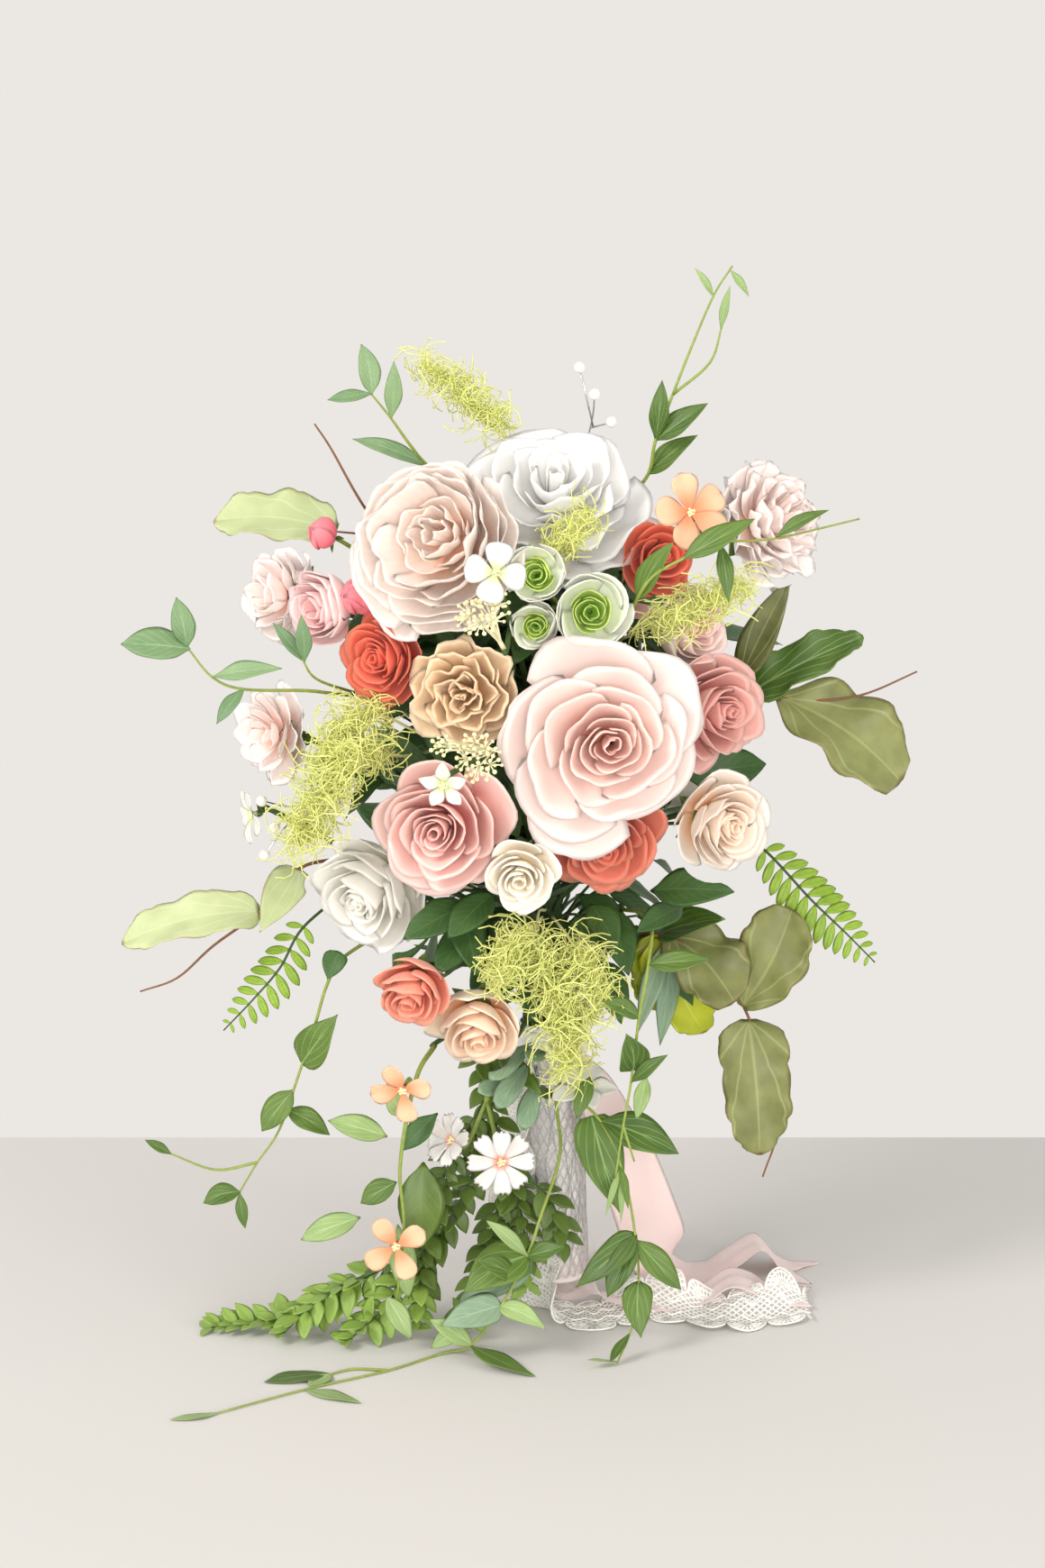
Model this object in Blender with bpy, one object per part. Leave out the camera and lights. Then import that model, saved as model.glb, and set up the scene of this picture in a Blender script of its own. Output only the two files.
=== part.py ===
"""Bridal bouquet: foam and silk blooms on wired stems, gathered into a wrapped handle.

The bouquet stands on the cut ends of its stem bundle, and its trailing greenery also
rests on the surface. +Z is up, -Y is the show side, and the origin is the centre of the
handle's foot. Sizes in this file are millimetres; MM turns them into Blender's metres.
"""

import math
import random

import bpy
import numpy as np

MM = 0.001
GAP = 0.3            # clearance between two pieces that touch
BLADE = 0.7          # thickness of a leaf or a flat petal
STANDOFF = 1.6       # how far foliage stays off a bloom
LYING = 0.9          # height of the middle of a stem or leaf that lies on the surface
SLIVER_KEEP = 0.50   # share of a joined node's faces left once its slivers are collapsed

# The stems above the grip run together as a trunk before they part.
TRUNK = [(0, 0, 160), (-2, -1, 230), (-5, -2, 310), (-6, -2, 396)]
TRUNK_RADII = [9.0, 7.0, 6.0, 4.0]

# The handle: radius of the wrapped grip at each height.
GRIP_PROFILE = [(0.0, 20.6), (84.0, 17.2), (140.0, 18.6), (200.0, 18.6)]
WRAP_WALL = 1.2
LACE_WALL = 0.8
LACE_SPAN = (10.0, 138.0)
BAND_SPAN = (139.0, 153.0)
BUNDLE_TOP = 158.0
CROWN_TOP = 170.0    # where the stems fan out
FLUTES = 10          # outer stems that show round the foot

SEAT_RADIUS = 4.4    # flat seat on the end of a stem, under its bloom
STEM_SIDES = 5

# Blooms: kind, centre of the face, facing (azimuth, elevation) in degrees, diameter.
# Azimuth 0 faces the show side and 90 faces +X.
BLOOMS = {
    "rose_blush_large": ("open_rose", (25, -148, 336), (4, 3), 110),
    "rose_white_large": ("open_rose", (-2, -62, 472), (0, 46), 104),
    "peony_peach": ("peony", (-71, -113, 441), (-22, 18), 94),
    "rose_coral_left": ("rose", (-97, -91, 374), (-30, 4), 51),
    "rose_champagne": ("wavy_rose", (-49, -116, 360), (-8, 4), 61),
    "rose_dusty_large": ("rose", (-63, -122, 286), (-12, -4), 76),
    "rose_dusty_right": ("rose", (95, -84, 344), (40, 0), 64),
    "rose_peach_right": ("rose", (99, -84, 281), (34, -8), 58),
    "rose_ivory_left": ("rose", (-108, -74, 236), (-32, -20), 70),
    "rose_cream_small": ("small_rose", (-17, -138, 265), (-2, -12), 40),
    "rose_terracotta": ("rose", (27, -96, 268), (6, -26), 70),
    "rose_coral_small": ("small_rose", (-78, -110, 192), (-15, -28), 42),
    "rose_peach_low": ("small_rose", (-40, -96, 172), (0, -40), 50),
    "carnation_pink": ("carnation", (132, -22, 446), (50, 20), 70),
    "ranunculus_pale_left": ("carnation", (-155, -26, 404), (-62, 12), 54),
    "ranunculus_rose_left": ("ranunculus", (-131, -66, 398), (-48, 0), 38),
    "gardenia_left": ("gardenia", (-158, -50, 327), (-60, 0), 62),
    "rose_coral_right": ("small_rose", (59, -74, 427), (18, 14), 41),
    "rose_blush_right": ("ranunculus", (79, -72, 390), (38, 6), 40),
    "ranunculus_green_a": ("ranunculus", (19, -122, 405), (4, 6), 38),
    "ranunculus_green_b": ("ranunculus", (-10, -110, 424), (-4, 14), 30),
    "ranunculus_green_c": ("ranunculus", (-11, -108, 395), (-8, 0), 24),
    "bud_pink_top": ("bud", (-128, -60, 440), (-40, 20), 18),
    "bud_pink_side": ("bud", (-109, -82, 407), (-36, 4), 22),
    "rose_ivory_back": ("back_rose", (-66, 88, 420), (-146, 26), 86),
    "rose_dusty_back": ("back_rose", (48, 92, 416), (150, 28), 88),
    "rose_blush_back": ("back_rose", (-14, 134, 332), (180, 0), 106),
    "rose_champagne_back": ("back_rose", (-64, 92, 248), (-148, -20), 78),
    "rose_peach_back": ("back_rose", (78, 86, 292), (138, -8), 74),
}

# Per kind: petals in a ring, rings of petals, depth of the flower over its diameter,
# height of the outermost rim, notch between petals, and the finish.
KINDS = {
    "open_rose": dict(petals=5, rings=4, depth=0.44, outer=0.62, notch=0.13, eye=1.0),
    "rose": dict(petals=5, rings=3, depth=0.60, outer=0.70, notch=0.10, eye=1.0),
    "wavy_rose": dict(petals=5, rings=3, depth=0.60, outer=0.74, notch=0.16, eye=1.0),
    "small_rose": dict(petals=4, rings=3, depth=0.68, outer=0.74, notch=0.10, eye=1.0),
    "peony": dict(petals=6, rings=4, depth=0.50, outer=0.58, notch=0.09, eye=0.92),
    "carnation": dict(petals=6, rings=3, depth=0.56, outer=0.66, notch=0.16, eye=1.04),
    "back_rose": dict(petals=5, rings=2, depth=0.60, outer=0.70, notch=0.10, eye=1.0),
    "ranunculus": dict(petals=4, rings=3, depth=0.66, outer=0.90, notch=0.08, eye=0.80),
    "gardenia": dict(petals=5, rings=2, depth=0.48, outer=0.62, notch=0.26, eye=0.96),
    "bud": dict(petals=3, rings=1, depth=0.95, outer=0.78, notch=0.10, eye=1.12),
}
FINE_ABOVE = 90.0    # blooms wider than this have four points to a petal, others three
WIDEST = 1.06        # the push envelope over the bloom's own radius

# Flat flowers: petals, centre of the face, facing, diameter, cup in millimetres.
FLORETS = {
    "orchid_peach_right": (5, (70, -92, 452), (24, 18), 44, 5),
    "floret_white_front": (4, (-30, -152, 428), (8, 12), 33, 3),
    "star_flower": (5, (-56, -160, 322), (-10, -14), 28, 5),
    "orchid_peach_low": (4, (-80, -114, 149), (-16, -12), 37, 5),
    "orchid_peach_base": (4, (-84, -112, 62), (-8, 4), 40, 5),
    "cosmos_front": (6, (-28, -106, 107), (4, -4), 38, 4),
    "cosmos_side": (6, (-55, -84, 112), (-44, 24), 32, 7),
    "floret_white_low": (5, (16, -66, 136), (10, 62), 42, 6),
    "floret_white_left": (5, (-164, -34, 281), (-66, -6), 34, 5),
}
FLORET_NECK = 6.0    # depth of a floret behind its face

HEAD_CENTRE = np.array((-12.0, -5.0, 335.0))

COLOURS = {
    "blush": ((0.95, 0.76, 0.71), 0.62), "white": ((0.92, 0.91, 0.90), 0.6),
    "peach": ((0.95, 0.72, 0.58), 0.6), "coral": ((0.86, 0.33, 0.25), 0.62),
    "champagne": ((0.86, 0.74, 0.60), 0.62), "dusty": ((0.80, 0.50, 0.48), 0.6),
    "ivory": ((0.90, 0.88, 0.82), 0.6), "cream": ((0.93, 0.86, 0.74), 0.6),
    "terracotta": ((0.73, 0.33, 0.26), 0.62), "pink": ((0.86, 0.42, 0.45), 0.6),
    "lime": ((0.84, 0.88, 0.66), 0.6), "apricot": ((0.93, 0.55, 0.38), 0.6),
    "berry": ((0.89, 0.87, 0.62), 0.5), "leaf": ((0.16, 0.32, 0.08), 0.5),
    "leaf_dark": ((0.07, 0.15, 0.05), 0.5), "leaf_pale": ((0.55, 0.64, 0.35), 0.55),
    "leaf_olive": ((0.26, 0.31, 0.14), 0.55), "leaf_grey": ((0.30, 0.42, 0.33), 0.6),
    "moss": ((0.55, 0.65, 0.14), 0.7), "twig": ((0.27, 0.15, 0.09), 0.7),
    "stem": ((0.12, 0.20, 0.06), 0.6), "pearl": ((0.90, 0.88, 0.84), 0.25),
    "satin": ((0.93, 0.92, 0.90), 0.45), "ribbon": ((0.88, 0.68, 0.64), 0.7),
    "lace": ((0.90, 0.87, 0.82), 0.8),
}


def unit(vector):
    vector = np.asarray(vector, float)
    return vector / max(np.linalg.norm(vector), 1e-9)


def facing_vector(azimuth, elevation):
    """The unit vector that a bloom faces along."""
    az, el = math.radians(azimuth), math.radians(elevation)
    return np.array((math.sin(az) * math.cos(el), -math.cos(az) * math.cos(el), math.sin(el)))


def axes_about(axis, hint=(0.0, 0.0, 1.0)):
    """Two unit vectors across axis, right-handed with it."""
    axis = unit(axis)
    side = np.cross(hint, axis)
    if np.linalg.norm(side) < 0.05:
        side = np.cross((0.0, 1.0, 0.0), axis)
    side = unit(side)
    return side, np.cross(axis, side)


def catmull(points, steps):
    """A smooth line through the points, with this many steps between each two."""
    points = np.asarray(points, float)
    if len(points) < 3:
        t = np.linspace(0, 1, steps + 1)[:, None]
        return points[0] * (1 - t) + points[-1] * t
    ends = np.vstack((2 * points[0] - points[1], points, 2 * points[-1] - points[-2]))
    line = []
    for a, b, c, d in zip(ends, ends[1:], ends[2:], ends[3:]):
        for t in np.arange(steps) / steps:
            line.append(0.5 * (2 * b + (c - a) * t + (2 * a - 5 * b + 4 * c - d) * t**2
                               + (3 * b - a - 3 * c + d) * t**3))
    return np.array(line + [points[-1]])


class Clearance:
    """Keeps foliage outside the blooms: each bloom is an ellipsoid that points leave."""

    def __init__(self):
        self.blooms = []

    def add(self, centre, axis, across, along):
        self.blooms.append((np.array(centre, float), unit(axis), across, along))

    def push(self, point, margin=STANDOFF, skip=None):
        point = np.array(point, float)
        for _ in range(5):
            for number, (centre, axis, across, along) in enumerate(self.blooms):
                if number == skip:
                    continue
                rel = point - centre
                up = rel @ axis
                flat = rel - up * axis
                reach = np.array((np.linalg.norm(flat) / (across + margin), up / (along + margin)))
                size = np.linalg.norm(reach)
                if 1e-6 < size < 1.0:
                    point = centre + rel / size
        point[2] = max(point[2], LYING)
        return point


CLEAR = Clearance()


# Mesh makers: each gives (points, triangles), closed and facing out.

def ring_mesh(rings, start, end):
    """Rings joined in order, closed at a start point and an end point."""
    count = len(rings[0])
    points = np.vstack([*rings, [start], [end]])
    first, last = len(points) - 2, len(points) - 1
    faces = []
    for j in range(count):
        k = (j + 1) % count
        faces.append((first, k, j))
        for i in range(len(rings) - 1):
            a, b = i * count + j, i * count + k
            faces += [(a, b, b + count), (a, b + count, a + count)]
        base = (len(rings) - 1) * count
        faces.append((base + j, base + k, last))
    return points, faces


def loop_mesh(rings):
    """Rings joined in order and back to the first: a sleeve or a hoop."""
    count, total = len(rings[0]), len(rings)
    faces = []
    for i in range(total):
        below = ((i + 1) % total) * count
        for j in range(count):
            k = (j + 1) % count
            faces += [(i * count + j, i * count + k, below + k),
                      (i * count + j, below + k, below + j)]
    return np.vstack(rings), faces


def tube(line, radii, sides=STEM_SIDES):
    """A tube along the line, with a radius for each of its points."""
    line = np.asarray(line, float)
    radii = np.broadcast_to(radii, len(line))
    rings, side = [], None
    for i, (point, radius) in enumerate(zip(line, radii)):
        ahead = unit(line[min(i + 1, len(line) - 1)] - line[max(i - 1, 0)])
        if side is None:
            side = axes_about(ahead)[0]
        side = unit(side - ahead * (side @ ahead))
        other = np.cross(ahead, side)
        turn = np.arange(sides) * 2 * math.pi / sides
        rings.append(point + radius * (np.outer(np.cos(turn), side) + np.outer(np.sin(turn), other)))
    points, faces = np.vstack(rings), []
    for i in range(len(rings) - 1):
        for j in range(sides):
            k, low = (j + 1) % sides, i * sides
            faces += [(low + j, low + k, low + sides + k), (low + j, low + sides + k, low + sides + j)]
    top = (len(rings) - 1) * sides
    for j in range(1, sides - 1):
        faces += [(0, j + 1, j), (top, top + j, top + j + 1)]
    return points, faces


def needle(root, tip, bend, radius):
    """A three-sided needle from root to tip, bowed by bend."""
    middle = CLEAR.push((np.asarray(root) + tip) / 2 + bend)
    tip = CLEAR.push(tip)
    side, other = axes_about(tip - root)
    turn = np.arange(3) * 2 * math.pi / 3
    across = np.outer(np.cos(turn), side) + np.outer(np.sin(turn), other)
    rings = [root + radius * across, middle + 0.7 * radius * across]
    points = np.vstack([*rings, [tip]])
    faces = [(0, 2, 1)]
    for j in range(3):
        k = (j + 1) % 3
        faces += [(j, k, 3 + k), (j, 3 + k, 3 + j), (3 + j, 3 + k, 6)]
    return points, faces


def ball(centre, radius):
    """A small berry or pearl with five corners round its waist."""
    turn = np.arange(5) * math.pi / 2.5
    waist = np.stack((np.cos(turn), np.sin(turn), 0 * turn), 1)
    return ring_mesh([centre + radius * waist], centre - (0, 0, radius), centre + (0, 0, radius))


LEAF_SHAPES = {
    "oval": [(0.06, 0.05), (0.36, 0.96), (0.70, 0.74)],
    "heart": [(0.05, 0.05), (0.26, 0.98), (0.62, 0.78)],
    "narrow": [(0.10, 0.20), (0.45, 1.0), (0.78, 0.55)],
    "short": [(0.08, 0.12), (0.55, 1.0)],
    "lobed": [(0.07, 0.20), (0.20, 1.0), (0.33, 0.78), (0.48, 1.0), (0.62, 0.66), (0.76, 0.62), (0.88, 0.30)],
}


def leaf(base, ahead, up, length, width, shape="oval", bend=0.5, fold=0.25, wave=0.0):
    """A thin folded blade. It bends away from its upper face by bend radians in all."""
    ahead = unit(ahead)
    side = unit(np.cross(ahead, up))
    up = np.cross(side, ahead)
    stations = [(0.0, 0.0), *LEAF_SHAPES[shape], (1.0, 0.0)]
    middles, lefts, rights, normals = [], [], [], []
    here, before = np.array(base, float), 0.0
    for number, (share, half) in enumerate(stations):
        angle = -bend * share
        direction = ahead * math.cos(angle) + up * math.sin(angle)
        normal = up * math.cos(angle) - ahead * math.sin(angle)
        here = here + direction * (share - before) * length
        before = share
        half_width = 0.5 * width * half
        lift = normal * half_width * math.sin(fold)
        ripple = normal * wave * (1 if number % 2 else -1) * min(1.0, 4 * half)
        out = side * half_width * math.cos(fold)
        spine = here if share == 0 else CLEAR.push(here)
        middles.append(spine)
        normals.append(normal)
        if 0 < share < 1:
            lefts.append(CLEAR.push(here - out + lift + ripple))
            rights.append(CLEAR.push(here + out + lift - ripple))
    count = len(lefts)
    surface = [middles[0]]
    thick = [normals[0]]
    for i in range(count):
        surface += [lefts[i], middles[i + 1], rights[i]]
        thick += [normals[i + 1]] * 3
    surface.append(middles[-1])
    thick.append(normals[-1])
    surface, thick = np.array(surface), np.array(thick) * BLADE / 2
    size = len(surface)
    points = np.vstack((surface + thick, surface - thick))
    left = [1 + 3 * i for i in range(count)]
    top = [(0, left[0] + 2, left[0] + 1), (0, left[0] + 1, left[0])]
    for a, b in zip(left, left[1:]):
        top += [(a + 1, a + 2, b + 2), (a + 1, b + 2, b + 1), (a, a + 1, b + 1), (a, b + 1, b)]
    end = left[-1]
    top += [(end + 1, end + 2, size - 1), (end, end + 1, size - 1)]
    faces = list(top) + [(c + size, b + size, a + size) for a, b, c in top]
    rim = [0, *[a + 2 for a in left], size - 1, *reversed(left)]
    for a, b in zip(rim, rim[1:] + rim[:1]):
        faces += [(a + size, b + size, b), (a + size, b, a)]
    return points, faces


def strip(line, across, width, thickness=BLADE):
    """A ribbon: a flat strip along the line, with its width along the across vectors."""
    line, across = np.asarray(line, float), np.asarray(across, float)
    ahead = np.gradient(line, axis=0)
    rows = []
    for point, along, wide, span in zip(line, ahead, across, width):
        wide = unit(wide - unit(along) * (wide @ unit(along)))
        left, right = point - wide * span / 2, point + wide * span / 2
        left[2], right[2] = max(left[2], 0.5), max(right[2], 0.5)
        up = unit(np.cross(along, right - left)) * thickness / 2
        rows.append([left - up, right - up, right + up, left + up])
    points, faces = np.array(rows).reshape(-1, 3), []
    for i in range(len(rows) - 1):
        for j in range(4):
            k, low = (j + 1) % 4, 4 * i
            faces += [(low + j, low + k, low + 4 + j), (low + 4 + j, low + k, low + 4 + k)]
    top = 4 * (len(rows) - 1)
    faces += [(0, 2, 1), (0, 3, 2), (top, top + 1, top + 2), (top, top + 2, top + 3)]
    return points, faces


# Blender objects.

MATERIALS = {}


def material(name):
    if name not in MATERIALS:
        colour, rough = COLOURS[name]
        made = bpy.data.materials.new(name)
        made.use_nodes = True
        shader = made.node_tree.nodes["Principled BSDF"]
        shader.inputs["Base Color"].default_value = (*colour, 1.0)
        shader.inputs["Roughness"].default_value = rough
        shader.inputs["Metallic"].default_value = 0.0
        MATERIALS[name] = made
    return MATERIALS[name]


def add_object(name, shape, finish, collection=None):
    points, faces = shape
    mesh = bpy.data.meshes.new(name)
    mesh.from_pydata((np.asarray(points) * MM).tolist(), [], [tuple(map(int, f)) for f in faces])
    mesh.update()
    obj = bpy.data.objects.new(name, mesh)
    (collection or bpy.context.scene.collection).objects.link(obj)
    mesh.materials.append(material(finish))
    return obj


def fuse(name, shapes, finish):
    """One solid from several that overlap, with the slivers of the join thinned out."""
    obj = add_object(name, shapes[0], finish)
    if len(shapes) == 1:
        return obj
    others = bpy.data.collections.new(name + "_repeats")
    bpy.context.scene.collection.children.link(others)
    for number, shape in enumerate(shapes[1:]):
        add_object(f"{name}_{number}", shape, finish, others)
    union = obj.modifiers.new("union", "BOOLEAN")
    union.operation = "UNION"
    union.operand_type = "COLLECTION"
    union.collection = others
    union.solver = "MANIFOLD"
    graph = bpy.context.evaluated_depsgraph_get()
    joined = bpy.data.meshes.new_from_object(obj.evaluated_get(graph))
    obj.modifiers.remove(union)
    obj.data = joined
    thin = obj.modifiers.new("thin", "DECIMATE")
    thin.ratio = SLIVER_KEEP
    graph = bpy.context.evaluated_depsgraph_get()
    thinned = bpy.data.meshes.new_from_object(obj.evaluated_get(graph))
    obj.modifiers.remove(thin)
    obj.data = thinned
    for other in list(others.objects):
        bpy.data.objects.remove(other)
    bpy.data.collections.remove(others)
    return obj


# Blooms.

def bloom_base(name):
    """The centre of the flat underside that sits on the stem, and the way the bloom faces."""
    if name in BLOOMS:
        kind, face, facing, diameter = BLOOMS[name]
        depth = KINDS[kind]["depth"] * diameter
    else:
        _, face, facing, diameter, _ = FLORETS[name]
        depth = FLORET_NECK
    axis = facing_vector(*facing)
    return np.array(face, float) - axis * depth, axis


def seat_radius(name):
    if name in FLORETS:
        return 1.8
    return min(SEAT_RADIUS, 0.20 * BLOOMS[name][3])


def petal_lobes(turn, petals, shift):
    """1 in the middle of a petal and 0 in the notch between two."""
    return np.abs(np.cos((turn * petals + shift) / 2)) ** 0.6


def bloom_shape(name):
    """Rings of petals as nested cups, whose rims are lobed and notched."""
    kind, face, facing, diameter = BLOOMS[name]
    look = KINDS[kind]
    base, axis = bloom_base(name)
    side, other = axes_about(axis)
    radius, depth = diameter / 2, look["depth"] * diameter
    petals, layers, notch = look["petals"], look["rings"], look["notch"]
    samples = 4 if diameter > FINE_ABOVE else 3
    turn = np.arange(petals * samples) * 2 * math.pi / (petals * samples)
    seat = seat_radius(name)

    def ring(reach, height):
        reach = np.broadcast_to(reach, len(turn)) * 1.0
        flat = np.outer(np.cos(turn) * reach, side) + np.outer(np.sin(turn) * reach, other)
        return base + flat + np.outer(np.broadcast_to(height, len(turn)), axis)

    shares = [1.0 - 0.80 * k / layers for k in range(layers)]
    heights = [look["outer"] + (1.0 - look["outer"]) * (k / max(layers - 1, 1)) ** 0.6 for k in range(layers)]
    rings = [ring(seat, 0.0), ring(0.60 * radius, 0.20 * depth)]
    for k in range(layers):
        lobes = petal_lobes(turn, petals, math.pi - 2 * math.pi * k * ((samples - 1) // 2) / samples)
        rim = radius * shares[k] * (1 - notch * (1 - lobes))
        lift = depth * (heights[k] - 0.6 * notch * (1 - lobes))
        rings.append(ring(rim, lift))
        inner = shares[k + 1] if k + 1 < layers else 0.16
        valley = radius * (inner * 0.80 + 0.08 * (shares[k] - inner))
        rings.append(ring(valley, depth * (heights[k] - 0.17)))
    return ring_mesh(rings, base, base + axis * depth * look["eye"])


def floret_shape(name):
    """A flat flower: petals that meet at a small neck."""
    petals, face, facing, diameter, cup = FLORETS[name]
    base, axis = bloom_base(name)
    side, other = axes_about(axis)
    turn = np.arange(petals * 4) * 2 * math.pi / (petals * 4)
    lobes = np.abs(np.cos(turn * petals / 2)) ** 0.8
    reach = diameter / 2 * (0.20 + 0.80 * lobes)

    def ring(share, height):
        flat = np.outer(np.cos(turn) * share, side) + np.outer(np.sin(turn) * share, other)
        return base + flat + np.outer(np.broadcast_to(height, len(turn)), axis)

    neck = FLORET_NECK
    rings = [ring(1.8 + 0 * turn, 0.0), ring(2.0 + 0 * turn, neck - 1.4),
             ring(reach, neck - 0.4 + cup * lobes * 0.6), ring(reach, neck + 0.4 + cup * lobes * 0.6)]
    return ring_mesh(rings, base, base + axis * (neck + 1.0))


def flower_shape(name):
    return bloom_shape(name) if name in BLOOMS else floret_shape(name)


# Handle, wrap, lace and ribbons.

def grip_radius(height):
    heights, radii = zip(*GRIP_PROFILE)
    return float(np.interp(height, heights, radii))


def grip_levels(low, high):
    """Heights at which the grip changes slope, with the two ends."""
    return [low, *[z for z, _ in GRIP_PROFILE if low < z < high], high]


def sleeve(name, span, inner_offset, wall, finish):
    """A tube that follows the grip, from one height to another."""
    sides = 2 * FLUTES
    turn = np.arange(sides) * 2 * math.pi / sides
    levels = grip_levels(*span)

    def hoop(radius, height):
        return np.stack((radius * np.cos(turn), radius * np.sin(turn), np.full(sides, height)), 1)

    outside = [hoop(grip_radius(z) + inner_offset + wall, z) for z in levels]
    inside = [hoop(grip_radius(z) + inner_offset, z) for z in levels[::-1]]
    return add_object(name, loop_mesh(outside + inside), finish)


def trunk_axis(height):
    """The point on the trunk at this height."""
    line = np.array(TRUNK, float)
    return np.array([np.interp(height, line[:, 2], line[:, k]) for k in range(3)])


def stem_bundle(ends, collar):
    """The gathered stems: a fluted bundle that fans out to a seat behind each piece."""
    count = FLUTES * 2
    turn = np.arange(count) * 2 * math.pi / count
    flute = 1 - 0.05 * (np.arange(count) % 2)
    wall = WRAP_WALL + GAP

    def hoop(radius, height):
        return np.stack((radius * flute * np.cos(turn), radius * flute * np.sin(turn),
                         np.full(count, height)), 1)

    rings = [hoop(grip_radius(z) - wall, z) for z in grip_levels(0.0, BUNDLE_TOP)]
    rings.append(hoop(12.0, CROWN_TOP))
    shapes = [ring_mesh(rings, (0, 0, 0), (0, 0, CROWN_TOP + 1))]
    trunk = tube(TRUNK, TRUNK_RADII, 7)
    shapes.append(trunk)
    for name, end, axis, seat in ends:
        flower = seat > 1.7
        back = end - axis * (14 if flower else 8)
        height = np.clip(back[2] - 0.8 * math.hypot(back[0], back[1]), CROWN_TOP + 6, TRUNK[-1][2] - 6)
        hub = trunk_axis(height)
        middle = VIA.get(name)
        if middle is None:
            rise = 0.10 * np.linalg.norm(back - hub) if height > CROWN_TOP + 6 else 3.0
            middle = (hub + back) / 2 + np.array((0, 0, rise))
        if flower:
            line = [hub, middle, end - axis * 6, end]
            shapes.append(tube(line, [1.9, 1.7, 1.6, seat], 4))
        else:
            shapes.append(tube([hub, middle, end - axis * 3, end], [1.8, 1.5, 1.4, 1.4], 3))
    return fuse("stem_bundle", shapes + collar, "stem")


def clear_start():
    for obj in list(bpy.data.objects):
        bpy.data.objects.remove(obj)


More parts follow.
